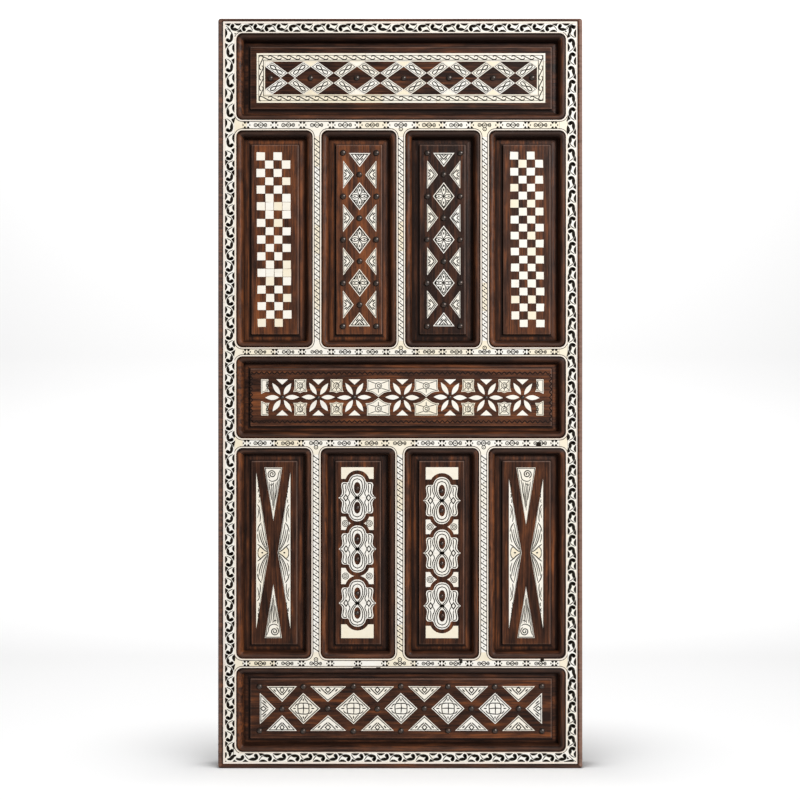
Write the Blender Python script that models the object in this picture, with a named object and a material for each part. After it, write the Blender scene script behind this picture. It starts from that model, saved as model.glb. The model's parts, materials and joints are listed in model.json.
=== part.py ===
"""A framed and panelled door leaf, faced with bone.

The leaf is a joined frame with eleven fielded panels, each inside a moulding, and its
frame is covered by plates of bone. Everything is in metres with +Z up. The leaf stands
upright with its face towards -Y, and the origin is the middle of its hanging edge, the
flat edge at X = 0.

Shapes are drawn on the leaf's face. There, x is measured from the leaf's centre line,
z from its lower edge, and depth from the face of the bone into the leaf.
"""
import math

import bmesh
import bpy

# The leaf
LEAF_WIDTH = 0.962
LEAF_HEIGHT = 1.980
LEAF_DEPTH = 0.050
CORNER_ROUNDING = 0.007
CLEARANCE = 0.0003
MM = 0.001

# The edge bead, which stands round the bone
BEAD_LEFT = 0.0131
BEAD_RIGHT = 0.0093
BEAD_TOP = 0.0077
BEAD_BOTTOM = 0.0119
BEAD_FALL = 0.0024

# The bone facing and the bed that it lies in
BONE_THICKNESS = 0.003
BED_DEPTH = BONE_THICKNESS + CLEARANCE
BORDER_SIDE = 0.0352
BORDER_END = 0.0315
FILLET = 0.016

# Cross rails, from the top down, and muntins
RAIL_CENTRES = (1.6987, 1.0997, 0.8585, 0.2769)
RAIL_HEIGHTS = (0.0292, 0.0254, 0.0272, 0.0256)
MUNTIN_PITCH = 0.2215
UPPER_MUNTIN_WIDTH = 0.0244
LOWER_MUNTIN_WIDTH = 0.0260
UPPER_MUNTIN_SHIFT = 0.0015
LOWER_MUNTIN_SHIFT = -0.0011

# Panels: a tongue in the frame's groove, a bevel, a step and the field
TONGUE_LENGTH = 0.006
TONGUE_FRONT = 0.028
TONGUE_BACK = 0.037
GROOVE_SLACK = 0.0005
PANEL_BACK = 0.043
MOULDING_WIDTH = 0.018
MOULDING_FOOT = 0.019
MOULDING_BROW = 0.0012
MOULDING_NOSE = ((0.0060, 0.0003), (0.0105, 0.0010), (0.0145, 0.0038), (0.0166, 0.0085),
                 (0.0175, 0.0135))
BEVEL_TOP = 0.0150
STEP_WIDTH = 0.001
FIELD_DEPTH = 0.012
WIDE_MARGIN = (0.0355, 0.0318)
TALL_MARGIN = (0.0385, 0.0350)
POCKET_DEPTH = 0.0012

# Inlays. A setter's eye isn't a rule: each inlay sits a little off its panel's centre.
UPPER_INLAY_SHIFTS = (-0.0027, 0.0014, 0.0030, 0.0011)
LOWER_INLAY_SHIFTS = (-0.0027, -0.0020, 0.0010, -0.0013)
TOP_FRAME_WIDTH = 0.0223
TOP_INLAY = (0.3830, 0.0659)
TOP_STRIP = 0.0185
TOP_DRIFT = (0.0080, 0.070, 0.200)
BOTTOM_BAY = (0.0624, 0.0592)
BOTTOM_STRIP = 0.0186
BOTTOM_DRIFT = (-0.0100, -0.235, 0.075)
UPPER_BAY = (0.0440, 0.0575)
UPPER_STRIP = 0.0154
LEFT_CHECKER = (4, 21, 0.0225, 0.0221)
RIGHT_CHECKER = (4, 22, 0.0220, 0.0212)
LEFT_MENDED_ROWS = (6, 14)
CHECKER_NECK = 0.0003
WEDGE_FIELD = (0.0461, 0.2262)
WEDGE_BASE = 0.0239
WEDGE_TIP = 0.0857
WEDGE_SIDE = 0.2080
WEDGE_SIDE_TIP = 0.0117
CARTOUCHE_FIELD = (0.0432, 0.2269)
CARTOUCHE_PITCH = 0.1384
LOBE_RADIUS = 0.0228
LOBE_CENTRE = 0.0400
STRAP_WIDTH = 0.0072
SHOULDER = 0.0425
SHOULDER_TOP = 0.0412
SPIKE = 0.0500
FLOWER_PITCH = 0.0960
FLOWER_WIDE_PITCH = 0.1268
FLOWER_SHIFT = 0.0035
FLOWER_BAND = 0.0481
PETAL_INNER = 0.0085
PETAL_OUTER = 0.0455
PETAL_HALF_WIDTH = 0.0060
PETAL_ANGLE = 60.0
TRIANGLE = (0.0150, 0.0143)
NARROW_TILE = ((0.0190, 0.0145), (0.0150, 0.0300), (0.0160, FLOWER_BAND))
NARROW_TILE_TIP = 0.0115
WIDE_TILE = ((0.0150, 0.0120), (0.0345, 0.0155), (0.0300, 0.0300), (0.0305, FLOWER_BAND))
WIDE_TILE_TIP = 0.0010

# Places that follow from the sizes
BONE_LEFT = -LEAF_WIDTH / 2 + BEAD_LEFT
BONE_RIGHT = LEAF_WIDTH / 2 - BEAD_RIGHT
BONE_BOTTOM = BEAD_BOTTOM
BONE_TOP = LEAF_HEIGHT - BEAD_TOP
INNER_LEFT = BONE_LEFT + BORDER_SIDE
INNER_RIGHT = BONE_RIGHT - BORDER_SIDE
INNER_BOTTOM = BONE_BOTTOM + BORDER_END
INNER_TOP = BONE_TOP - BORDER_END

WOOD_COLOUR = (0.075, 0.036, 0.022, 1.0)
PANEL_COLOUR = (0.095, 0.043, 0.024, 1.0)
MOULDING_COLOUR = (0.060, 0.030, 0.020, 1.0)
BONE_COLOUR = (0.86, 0.80, 0.68, 1.0)


# ---------------------------------------------------------------- outlines
def rect(x0, z0, x1, z1):
    """A rectangle's corners, counterclockwise from the lower left."""
    return [(x0, z0), (x1, z0), (x1, z1), (x0, z1)]


def inset(box, dx, dz):
    """The rectangle drawn in by dx at its sides and dz at its ends."""
    (x0, z0), _, (x1, z1), _ = box
    return rect(x0 + dx, z0 + dz, x1 - dx, z1 - dz)


def middle(box):
    """The centre of a rectangle."""
    return (box[0][0] + box[2][0]) / 2, (box[0][1] + box[2][1]) / 2


def rounded(box, radius, steps=3):
    """The rectangle with each corner turned into an arc of steps + 1 points."""
    (x0, z0), _, (x1, z1), _ = box
    centres = rect(x0 + radius, z0 + radius, x1 - radius, z1 - radius)
    outline = []
    for quarter, (cx, cz) in enumerate(centres):
        for step in range(steps + 1):
            angle = math.pi + (quarter + step / steps) * math.pi / 2
            outline.append((cx + radius * math.cos(angle), cz + radius * math.sin(angle)))
    return outline


def moved(outline, dx, dz):
    """The outline shifted bodily."""
    return [(x + dx, z + dz) for x, z in outline]


def mirrored(outline):
    """The outline's mirror image across x = 0, still counterclockwise."""
    return [(-x, z) for x, z in reversed(outline)]


def flipped(outline):
    """The outline's mirror image across z = 0, still counterclockwise."""
    return [(x, -z) for x, z in reversed(outline)]


def shrunk(outline, gap):
    """The outline with every side moved inwards by gap."""
    result = []
    count = len(outline)
    for i, (x, z) in enumerate(outline):
        ax, az = outline[i - 1]
        bx, bz = outline[(i + 1) % count]
        before = math.hypot(x - ax, z - az)
        after = math.hypot(bx - x, bz - z)
        n1 = (-(z - az) / before, (x - ax) / before)
        n2 = (-(bz - z) / after, (bx - x) / after)
        scale = gap / (1 + n1[0] * n2[0] + n1[1] * n2[1])
        result.append((x + (n1[0] + n2[0]) * scale, z + (n1[1] + n2[1]) * scale))
    return result


def drifted(outline, amount, centre, spread):
    """The outline pushed sideways by a bell curve of that height, place and width."""
    return [(x + amount * math.exp(-((x - centre) / spread) ** 2), z) for x, z in outline]


def arc(cx, cz, radius, start, end, steps):
    """Points along an arc, by angles in degrees."""
    angles = [math.radians(start + (end - start) * i / steps) for i in range(steps + 1)]
    return [(cx + radius * math.cos(a), cz + radius * math.sin(a)) for a in angles]


def flared_bar(x0, z0, x1, z1, radius):
    """A level bar whose ends spread in quarter circles to meet what it runs into."""
    return (arc(x0 + radius, z0 - radius, radius, 180, 90, 3)
            + arc(x1 - radius, z0 - radius, radius, 90, 0, 3)
            + arc(x1 - radius, z1 + radius, radius, 0, -90, 3)
            + arc(x0 + radius, z1 + radius, radius, -90, -180, 3))


def lattice_tiles(columns, rows, bay, strip):
    """The tiles between crossed strips in a field of 2 x columns by 2 x rows half bays.

    A bay is a half diamond's size before the strips take their width, and strip is the
    strips' half width measured level. Tiles at the field's edge are halved by it.
    """
    a, b = bay
    half_x = a - strip
    half_z = b * half_x / a
    tiles = []
    for i in range(-columns, columns + 1):
        for j in range(-rows, rows + 1):
            at_side, at_end = abs(i) == columns, abs(j) == rows
            if (i + j) % 2 != (columns + rows + 1) % 2 or (at_side and at_end):
                continue
            corners = [(0, -half_z), (half_x, 0), (0, half_z), (-half_x, 0)]
            if at_side:
                corners = [p for p in corners if p[0] * i <= 0]
            if at_end:
                corners = [p for p in corners if p[1] * j <= 0]
            tiles.append(moved(corners, i * a, j * b))
    return tiles


def top_lattice():
    """The top panel's bone frame with crossed strips: its outline and its openings."""
    width, height = TOP_INLAY
    outline = rect(-width, -height, width, height)
    inner_x, inner_z = width - TOP_FRAME_WIDTH, height - TOP_FRAME_WIDTH
    bay = (inner_x / 6, inner_z)
    strip_z = TOP_STRIP * bay[1] / bay[0]
    crossing = [(0, -strip_z), (TOP_STRIP, 0), (0, strip_z), (-TOP_STRIP, 0)]
    openings = lattice_tiles(6, 1, bay, TOP_STRIP)
    openings += [shrunk(moved(crossing, i * bay[0], 0), MM) for i in range(-5, 6, 2)]
    return outline, [drifted(opening, *TOP_DRIFT) for opening in openings]


def wedges():
    """The four long triangles of an X panel, named by where they stand."""
    side, end = WEDGE_FIELD
    top = [(0, WEDGE_TIP), (WEDGE_BASE, end), (-WEDGE_BASE, end)]
    left = [(-side, -WEDGE_SIDE), (-WEDGE_SIDE_TIP, 0), (-side, WEDGE_SIDE)]
    return {"top": top, "bottom": flipped(top), "left": left, "right": mirrored(left)}


def cartouche():
    """Two round lobes over a broad pair of shoulders that run out to a spike each side."""
    lobe = arc(0, LOBE_CENTRE, LOBE_RADIUS, 0, 90, 4)
    shoulder = [(SPIKE, 0), (0.96 * SHOULDER, 0.24 * SHOULDER_TOP),
                (0.97 * SHOULDER, 0.60 * SHOULDER_TOP), (SHOULDER, 0.90 * SHOULDER_TOP),
                (0.87 * SHOULDER, SHOULDER_TOP), (0.63 * SHOULDER, 0.98 * SHOULDER_TOP)]
    quarter = shoulder + lobe[:-1]
    half = quarter + [(0, LOBE_CENTRE + LOBE_RADIUS)] + mirrored(quarter)[:-1]
    return half + [(-x, -z) for x, z in half]


def cartouche_block():
    """The block over the topmost cartouche, hollowed by an arch round its lobe."""
    side, end = CARTOUCHE_FIELD
    foot = CARTOUCHE_PITCH + SHOULDER_TOP + STRAP_WIDTH
    centre = CARTOUCHE_PITCH + LOBE_CENTRE
    radius = LOBE_RADIUS + STRAP_WIDTH
    start = math.degrees(math.asin((foot - centre) / radius))
    arch = arc(0, centre, radius, 180 - start, start, 6)
    return [(-side, foot)] + arch + [(side, foot), (side, end), (-side, end)]


def cartouche_corner():
    """The curved corner tile on the right, midway between two cartouches."""
    side = CARTOUCHE_FIELD[0]
    height = CARTOUCHE_PITCH / 2 - SHOULDER_TOP - STRAP_WIDTH
    radius = LOBE_RADIUS + STRAP_WIDTH
    lobe = CARTOUCHE_PITCH / 2 - LOBE_CENTRE
    start = math.degrees(math.asin((height - lobe) / radius))
    tip = math.degrees(math.asin(-lobe / radius))
    upper = [(side, height)] + arc(0, lobe, radius, start, tip, 4)
    return upper + flipped(upper)[1:]


def cartouche_tiles():
    """Every bone tile of a cartouche panel."""
    pitch = CARTOUCHE_PITCH
    tiles = [moved(cartouche(), 0, row * pitch) for row in (-1, 0, 1)]
    tiles += [cartouche_block(), flipped(cartouche_block())]
    for row in (-0.5, 0.5):
        corner = moved(cartouche_corner(), 0, row * pitch)
        tiles += [corner, mirrored(corner)]
    return tiles


def petal(angle):
    """A pointed petal as a hexagon along a ray from a flower's centre."""
    length = PETAL_OUTER - PETAL_INNER
    along = [(0, 0), (0.3, -0.86), (0.7, -0.86), (1, 0), (0.7, 0.86), (0.3, 0.86)]
    c, s = math.cos(math.radians(angle)), math.sin(math.radians(angle))
    points = [(PETAL_INNER + length * u, PETAL_HALF_WIDTH * v) for u, v in along]
    return [(c * u - s * v, s * u + c * v) for u, v in points]


def flower_centres():
    """The seven flowers, three close together at each side of one set wide."""
    steps = (0, FLOWER_WIDE_PITCH, FLOWER_WIDE_PITCH + FLOWER_PITCH,
             FLOWER_WIDE_PITCH + 2 * FLOWER_PITCH)
    return sorted({FLOWER_SHIFT + sign * step for sign in (-1, 1) for step in steps})


def flower_tiles():
    """Every bone tile of the middle panel: petals, triangles and the tiles between."""
    centres = flower_centres()
    half_base, depth = TRIANGLE
    triangle = [(0, FLOWER_BAND - depth), (half_base, FLOWER_BAND), (-half_base, FLOWER_BAND)]
    narrow = [(0, NARROW_TILE_TIP), *NARROW_TILE]
    tiles = []
    for centre in centres:
        for angle in (0, 180, PETAL_ANGLE, -PETAL_ANGLE, 180 - PETAL_ANGLE, 180 + PETAL_ANGLE):
            tiles.append(moved(petal(angle), centre, 0))
        tiles += [moved(triangle, centre, 0), moved(flipped(triangle), centre, 0)]
    for before, after in zip(centres, centres[1:]):
        tile = narrow
        if after - before > (FLOWER_PITCH + FLOWER_WIDE_PITCH) / 2:
            tile = [(0, WIDE_TILE_TIP), *WIDE_TILE]
        tile = moved(tile + mirrored(tile[1:]), (before + after) / 2, 0)
        tiles += [tile, flipped(tile)]
    half_tile = narrow + [(0, FLOWER_BAND)]
    for tile in (moved(half_tile, centres[0] - FLOWER_PITCH / 2, 0),
                 moved(mirrored(half_tile), centres[-1] + FLOWER_PITCH / 2, 0)):
        tiles += [tile, flipped(tile)]
    return tiles


# ---------------------------------------------------------------- openings
def muntin_lines(shift):
    """The centre lines of a row's three muntins."""
    return [shift + MUNTIN_PITCH * step for step in (-1, 0, 1)]


def row_openings(z0, z1, shift, width):
    """The four openings of a row, left to right, between its muntins."""
    sides = [INNER_LEFT]
    for line in muntin_lines(shift):
        sides += [line - width / 2, line + width / 2]
    sides.append(INNER_RIGHT)
    return [rect(sides[i], z0, sides[i + 1], z1) for i in range(0, len(sides), 2)]


def all_openings():
    """Each panel's name with the opening that it fills."""
    under = [c - h / 2 for c, h in zip(RAIL_CENTRES, RAIL_HEIGHTS)]
    over = [c + h / 2 for c, h in zip(RAIL_CENTRES, RAIL_HEIGHTS)]
    openings = {"top": rect(INNER_LEFT, over[0], INNER_RIGHT, INNER_TOP)}
    upper = row_openings(over[1], under[0], UPPER_MUNTIN_SHIFT, UPPER_MUNTIN_WIDTH)
    openings.update({f"upper_{i + 1}": box for i, box in enumerate(upper)})
    openings["middle"] = rect(INNER_LEFT, over[2], INNER_RIGHT, under[1])
    lower = row_openings(over[3], under[2], LOWER_MUNTIN_SHIFT, LOWER_MUNTIN_WIDTH)
    openings.update({f"lower_{i + 1}": box for i, box in enumerate(lower)})
    openings["bottom"] = rect(INNER_LEFT, INNER_BOTTOM, INNER_RIGHT, under[3])
    return openings


def panel_tiles(name):
    """The outlines of the pockets in a panel's field, from the panel's centre."""
    if name == "top":
        return [top_lattice()[0]]
    if name == "middle":
        return flower_tiles()
    if name == "bottom":
        tiles = lattice_tiles(6, 1, BOTTOM_BAY, BOTTOM_STRIP)
        return [drifted(tile, *BOTTOM_DRIFT) for tile in tiles]
    if name in ("upper_1", "upper_4"):
        columns, rows, width, height = LEFT_CHECKER if name == "upper_1" else RIGHT_CHECKER
        half_x, half_z = columns * width / 2 + CLEARANCE, rows * height / 2 + CLEARANCE
        return [rect(-half_x, -half_z, half_x, half_z)]
    if name.startswith("upper"):
        return lattice_tiles(1, 4, UPPER_BAY, UPPER_STRIP)
    if name in ("lower_1", "lower_4"):
        return list(wedges().values())
    return cartouche_tiles()


def inlay_centre(name, opening):
    """Where a panel's inlay is centred."""
    x, z = middle(opening)
    row, _, place = name.partition("_")
    if row == "upper":
        x += UPPER_INLAY_SHIFTS[int(place) - 1]
    if row == "lower":
        x += LOWER_INLAY_SHIFTS[int(place) - 1]
    return x, z


# ---------------------------------------------------------------- solids
class Solid:
    """A closed mesh put together from outlines at given depths."""

    def __init__(self):
        self.bm = bmesh.new()

    def loop(self, outline, depth):
        """Put an outline's points at one depth."""
        return [self.bm.verts.new((x + LEAF_WIDTH / 2, depth - LEAF_DEPTH / 2, z - LEAF_HEIGHT / 2))
                for x, z in outline]

    def wall(self, first, second):
        """Join two loops that have as many points as each other."""
        count = len(first)
        for i in range(count):
            j = (i + 1) % count
            self.bm.faces.new((first[i], first[j], second[j], second[i]))

    def fan_wall(self, arcs, corners):
        """Join a loop with rounded corners to a loop of four sharp ones."""
        per_corner = len(arcs) // 4
        for quarter in range(4):
            first = quarter * per_corner
            for i in range(first, first + per_corner - 1):
                self.bm.faces.new((arcs[i], arcs[i + 1], corners[quarter]))
            last = arcs[first + per_corner - 1]
            following = arcs[(first + per_corner) % len(arcs)]
            self.bm.faces.new((last, following, corners[(quarter + 1) % 4], corners[quarter]))

    def cap(self, outer, holes=()):
        """Fill a loop, leaving holes open."""
        if not holes:
            self.bm.faces.new(outer)
            return
        edges = []
        for loop in (outer, *holes):
            for i, vert in enumerate(loop):
                pair = (vert, loop[(i + 1) % len(loop)])
                edges.append(self.bm.edges.get(pair) or self.bm.edges.new(pair))
        bmesh.ops.triangle_fill(self.bm, use_beauty=True, use_dissolve=False, edges=edges)

    def build(self, name, material):
        """Close the mesh, turn its faces outwards and make the named object."""
        bmesh.ops.recalc_face_normals(self.bm, faces=self.bm.faces[:])
        mesh = bpy.data.meshes.new(name)
        self.bm.to_mesh(mesh)
        self.bm.free()
        mesh.materials.append(material)
        piece = bpy.data.objects.new(name, mesh)
        bpy.context.scene.collection.objects.link(piece)
        return piece


def plate(name, outline, front, back, material, openings=()):
    """A flat plate of any outline, with straight openings through it."""
    solid = Solid()
    outer = [solid.loop(outline, depth) for depth in (front, back)]
    inner = [[solid.loop(opening, depth) for opening in openings] for depth in (front, back)]
    solid.wall(*outer)
    for pair in zip(*inner):
        solid.wall(*pair)
    for face in (0, 1):
        solid.cap(outer[face], inner[face])
    return solid.build(name, material)


def grooved_bar(across, along, upright, groove_low, groove_high, tenon=None):
    """A bar of the frame, with a groove for the panels in either long side.

    across and along are its reach over its width and its length. tenon is the reach of
    the stub tenon at its ends, which fills the groove of the bar that it meets.
    """
    low, high = across
    front, back = TONGUE_FRONT - GROOVE_SLACK, TONGUE_BACK + GROOVE_SLACK
    floor = TONGUE_LENGTH + GROOVE_SLACK
    profile = [(low, BED_DEPTH), (high, BED_DEPTH)]
    if groove_high:
        profile += [(high, front), (high - floor, front), (high - floor, back), (high, back)]
    profile += [(high, LEAF_DEPTH), (low, LEAF_DEPTH)]
    if groove_low:
        profile += [(low, back), (low + floor, back), (low + floor, front), (low, front)]
    solid = Solid()

    def station(points, end):
        """The points of a cross-section at one place along the bar."""
        places = [(a, end) if upright else (end, a) for a, _ in points]
        return [solid.loop([place], depth)[0] for place, (_, depth) in zip(places, points)]

    ends = [station(profile, end) for end in along]
    solid.wall(*ends)
    if tenon is None:
        solid.cap(ends[0])
        solid.cap(ends[1])
        return solid
    core = [(tenon[0], TONGUE_FRONT), (tenon[1], TONGUE_FRONT),
            (tenon[1], TONGUE_BACK), (tenon[0], TONGUE_BACK)]
    for outer, end, reach in ((ends[0], along[0], -TONGUE_LENGTH), (ends[1], along[1], TONGUE_LENGTH)):
        root, tip = station(core, end), station(core, end + reach)
        solid.cap(outer, [root])
        solid.wall(root, tip)
        solid.cap(tip)
    return solid


def round_stile_corners(solid, outer_x):
    """Round the two upright corners where a stile meets the leaf's ends."""
    edges = []
    for edge in solid.bm.edges:
        at_side = all(abs(v.co.x - outer_x) < MM / 10 for v in edge.verts)
        at_end = all(abs(abs(v.co.z) - LEAF_HEIGHT / 2) < MM / 10 for v in edge.verts)
        if at_side and at_end:
            edges.append(edge)
    bmesh.ops.bevel(solid.bm, geom=edges, offset=CORNER_ROUNDING, segments=3, profile=0.5,
                    affect="EDGES")


def panel(name, opening, margin, pockets, material):
    """A fielded panel: a tongue all round, a rising bevel, a step and a pocketed field."""
    foot = inset(opening, CLEARANCE, CLEARANCE)
    tongue = inset(opening, -TONGUE_LENGTH, -TONGUE_LENGTH)
    bevel_foot = inset(opening, MOULDING_WIDTH, MOULDING_WIDTH)
    bevel_top = inset(opening, margin[0] - STEP_WIDTH, margin[1] - STEP_WIDTH)
    field = inset(opening, *margin)
    bed = MOULDING_FOOT + CLEARANCE
    stations = [(foot, PANEL_BACK), (foot, TONGUE_BACK), (tongue, TONGUE_BACK),
                (tongue, TONGUE_FRONT), (foot, TONGUE_FRONT), (foot, bed), (bevel_foot, bed),
                (bevel_top, BEVEL_TOP), (field, FIELD_DEPTH)]
    solid = Solid()
    loops = [solid.loop(outline, depth) for outline, depth in stations]
    for first, second in zip(loops, loops[1:]):
        solid.wall(first, second)
    solid.cap(loops[0])
    rims = [solid.loop(pocket, FIELD_DEPTH) for pocket in pockets]
    floors = [solid.loop(pocket, FIELD_DEPTH + POCKET_DEPTH) for pocket in pockets]
    solid.cap(loops[-1], rims)
    for rim, floor in zip(rims, floors):
        solid.wall(rim, floor)
        solid.cap(floor)
    return solid.build(name, material)


def moulding(name, opening, material):
    """A mitred moulding round an opening: a round nose that drops steeply to the panel."""
    solid = Solid()
    outer = rounded(inset(opening, CLEARANCE, CLEARANCE), FILLET)
    foot, brow = solid.loop(outer, MOULDING_FOOT), solid.loop(outer, MOULDING_BROW)
    nose = [solid.loop(inset(opening, u, u), depth) for u, depth in MOULDING_NOSE]
    inner_foot = MOULDING_WIDTH - CLEARANCE
    nose.append(solid.loop(inset(opening, inner_foot, inner_foot), MOULDING_FOOT))
    solid.wall(foot, brow)
    solid.fan_wall(brow, nose[0])
    for first, second in zip(nose, nose[1:]):
        solid.wall(first, second)
    solid.fan_wall(foot, nose[-1])
    return solid.build(name, material)


def edge_bead(material):
    """The round bead along the leaf's four edges, level with the bone."""
    outer = rect(-LEAF_WIDTH / 2, 0, LEAF_WIDTH / 2, LEAF_HEIGHT)
    inner = rect(BONE_LEFT - CLEARANCE, BONE_BOTTOM - CLEARANCE,
                 BONE_RIGHT + CLEARANCE, BONE_TOP + CLEARANCE)
    solid = Solid()
    foot = solid.loop(rounded(outer, CORNER_ROUNDING), BONE_THICKNESS)
    loops = [foot]
    for share in (0.0, 0.16, 0.5, 0.84, 1.0):
        box = [(ox + (ix - ox) * share, oz + (iz - oz) * share)
               for (ox, oz), (ix, iz) in zip(outer, inner)]
        fall = BEAD_FALL * (1 - math.sin(math.pi * share))
        radius = CORNER_ROUNDING * (1 - 0.95 * share)
        loops.append(solid.loop(rounded(box, radius), fall))
    loops.append(solid.loop(rounded(inner, CORNER_ROUNDING * 0.05), BONE_THICKNESS))
    for first, second in zip(loops, loops[1:]):
        solid.wall(first, second)
    solid.wall(loops[-1], foot)
    return solid.build("edge_bead", material)


def bone_border(material):
    """The bone band inside the edge bead, with rounded inner corners."""
    outer = rect(BONE_LEFT, BONE_BOTTOM, BONE_RIGHT, BONE_TOP)
    inner = rounded(rect(INNER_LEFT, INNER_BOTTOM, INNER_RIGHT, INNER_TOP), FILLET)
    solid = Solid()
    front = [solid.loop(outline, 0.0) for outline in (outer, inner)]
    back = [solid.loop(outline, BONE_THICKNESS) for outline in (outer, inner)]
    for outers, inners in (front, back):
        solid.fan_wall(inners, outers)
    solid.wall(front[0], back[0])
    solid.wall(front[1], back[1])
    return solid.build("bone_border", material)


def checker_plate(name, counts, centre, mended_rows, material):
    """The light squares of a checker, joined where their corners touch.

    It is a plate cut through at every dark square, and the dark squares along its sides
    are notches in its outline. mended_rows, from the top, are bone all along.
    """
    columns, rows, width, height = counts
    edge = 1 - 2 * CHECKER_NECK / width

    def dark(column, row):
        return row not in mended_rows and (column + row) % 2 == 1

    def point(column, row, along, across, walk):
        """A point of a square, in half widths along a walk and towards its left."""
        (dx, dz), (nx, nz) = walk, (-walk[1], walk[0])
        x = (column + 0.5 - columns / 2) * width + (dx * along + nx * across) * width / 2
        z = (rows / 2 - row - 0.5) * height + (dz * along + nz * across) * height / 2
        return x + centre[0], z + centre[1]

    walks = ((1, 0), (0, 1), (-1, 0), (0, -1))
    right, foot = columns - 1, rows - 1
    corners = ((0, foot), (right, foot), (right, 0), (0, 0))
    sides = ([(c, foot) for c in range(1, right)], [(right, r) for r in range(foot - 1, 0, -1)],
             [(c, 0) for c in range(right - 1, 0, -1)], [(0, r) for r in range(1, foot)])
    outline = []
    for number, (corner, side) in enumerate(zip(corners, sides)):
        walk, arriving = walks[number], walks[number - 1]
        if dark(*corner):
            outline += [point(*corner, -edge, -1, arriving), point(*corner, -edge, edge, arriving),
                        point(*corner, edge, -1, walk)]
        else:
            outline.append(point(*corner, 1, -1, arriving))
        for square in side:
            if dark(*square):
                outline += [point(*square, along, across, walk) for along, across in
                            ((-edge, -1), (-edge, edge), (edge, edge), (edge, -1))]
    turns = ((-edge, -edge), (edge, -edge), (edge, edge), (-edge, edge))
    holes = [[point(column, row, *turn, walks[0]) for turn in turns]
             for row in range(1, foot) for column in range(1, right) if dark(column, row)]
    front, back = FIELD_DEPTH - CLEARANCE, FIELD_DEPTH + POCKET_DEPTH - CLEARANCE
    return plate(name, outline, front, back, material, holes)


# ---------------------------------------------------------------- the leaf
def wood(name, colour, roughness):
    """A plain wood finish."""
    material = bpy.data.materials.new(name)
    material.use_nodes = True
    shader = material.node_tree.nodes["Principled BSDF"]
    shader.inputs["Base Color"].default_value = colour
    shader.inputs["Roughness"].default_value = roughness
    return material


def build_frame(material):
    """Stiles, rails and muntins, each a grooved bar."""
    half = LEAF_WIDTH / 2
    stiles = (("left_stile", (-half, INNER_LEFT), False, True, 0.0),
              ("right_stile", (INNER_RIGHT, half), True, False, LEAF_WIDTH))
    for name, across, low, high, outer_x in stiles:
        solid = grooved_bar(across, (0, LEAF_HEIGHT), True, low, high)
        round_stile_corners(solid, outer_x)
        solid.build(name, material)
    between = (INNER_LEFT + CLEARANCE, INNER_RIGHT - CLEARANCE)
    rails = [("top_rail", (INNER_TOP, LEAF_HEIGHT), True, False),
             ("bottom_rail", (0, INNER_BOTTOM), False, True)]
    for number, (centre, height) in enumerate(zip(RAIL_CENTRES, RAIL_HEIGHTS), 1):
        rails.append((f"cross_rail_{number}", (centre - height / 2, centre + height / 2), True, True))
    floor = TONGUE_LENGTH + 2 * GROOVE_SLACK
    for name, across, low, high in rails:
        tenon = (across[0] + (floor if low else GROOVE_SLACK),
                 across[1] - (floor if high else GROOVE_SLACK))
        grooved_bar(across, between, False, low, high, tenon).build(name, material)
    openings = all_openings()
    rows = (("upper", UPPER_MUNTIN_SHIFT, UPPER_MUNTIN_WIDTH),
            ("lower", LOWER_MUNTIN_SHIFT, LOWER_MUNTIN_WIDTH))
    for row, shift, width in rows:
        (_, z0), _, (_, z1), _ = openings[f"{row}_1"]
        along = (z0 + CLEARANCE, z1 - CLEARANCE)
        for number, line in enumerate(muntin_lines(shift), 1):
            across = (line - width / 2, line + width / 2)
            tenon = (across[0] + floor, across[1] - floor)
            bar = grooved_bar(across, along, True, True, True, tenon)
            bar.build(f"{row}_muntin_{number}", material)


def build_bone_facing(material):
    """The bone plates over the frame: the border, the rails and the muntins."""
    bone_border(material)
    for number, (centre, height) in enumerate(zip(RAIL_CENTRES, RAIL_HEIGHTS), 1):
        outline = flared_bar(INNER_LEFT + CLEARANCE, centre - height / 2,
                             INNER_RIGHT - CLEARANCE, centre + height / 2, FILLET)
        plate(f"bone_rail_{number}", outline, 0, BONE_THICKNESS, material)
    openings = all_openings()
    rows = (("upper", UPPER_MUNTIN_SHIFT, UPPER_MUNTIN_WIDTH),
            ("lower", LOWER_MUNTIN_SHIFT, LOWER_MUNTIN_WIDTH))
    for row, shift, width in rows:
        (_, z0), _, (_, z1), _ = openings[f"{row}_1"]
        for number, line in enumerate(muntin_lines(shift), 1):
            level = flared_bar(z0 + CLEARANCE, -width / 2, z1 - CLEARANCE, width / 2, FILLET)
            outline = [(line - z, x) for x, z in level]
            plate(f"bone_{row}_muntin_{number}", outline, 0, BONE_THICKNESS, material)


def build_inlays(material, openings):
    """The bone inlays that hold together as one plate or are large enough to name."""
    front, back = FIELD_DEPTH - CLEARANCE, FIELD_DEPTH + POCKET_DEPTH - CLEARANCE
    outline, holes = top_lattice()
    centre = inlay_centre("top", openings["top"])
    plate("bone_lattice_top", moved(shrunk(outline, CLEARANCE), *centre), front, back, material,
          [moved(hole, *centre) for hole in holes])
    checker_plate("bone_checker_left", LEFT_CHECKER, inlay_centre("upper_1", openings["upper_1"]),
                  LEFT_MENDED_ROWS, material)
    checker_plate("bone_checker_right", RIGHT_CHECKER, inlay_centre("upper_4", openings["upper_4"]),
                  (), material)
    for side, panel_name in (("left", "lower_1"), ("right", "lower_4")):
        centre = inlay_centre(panel_name, openings[panel_name])
        for place, outline in wedges().items():
            plate(f"bone_wedge_{side}_{place}", moved(shrunk(outline, CLEARANCE), *centre),
                  front, back, material)


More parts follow.
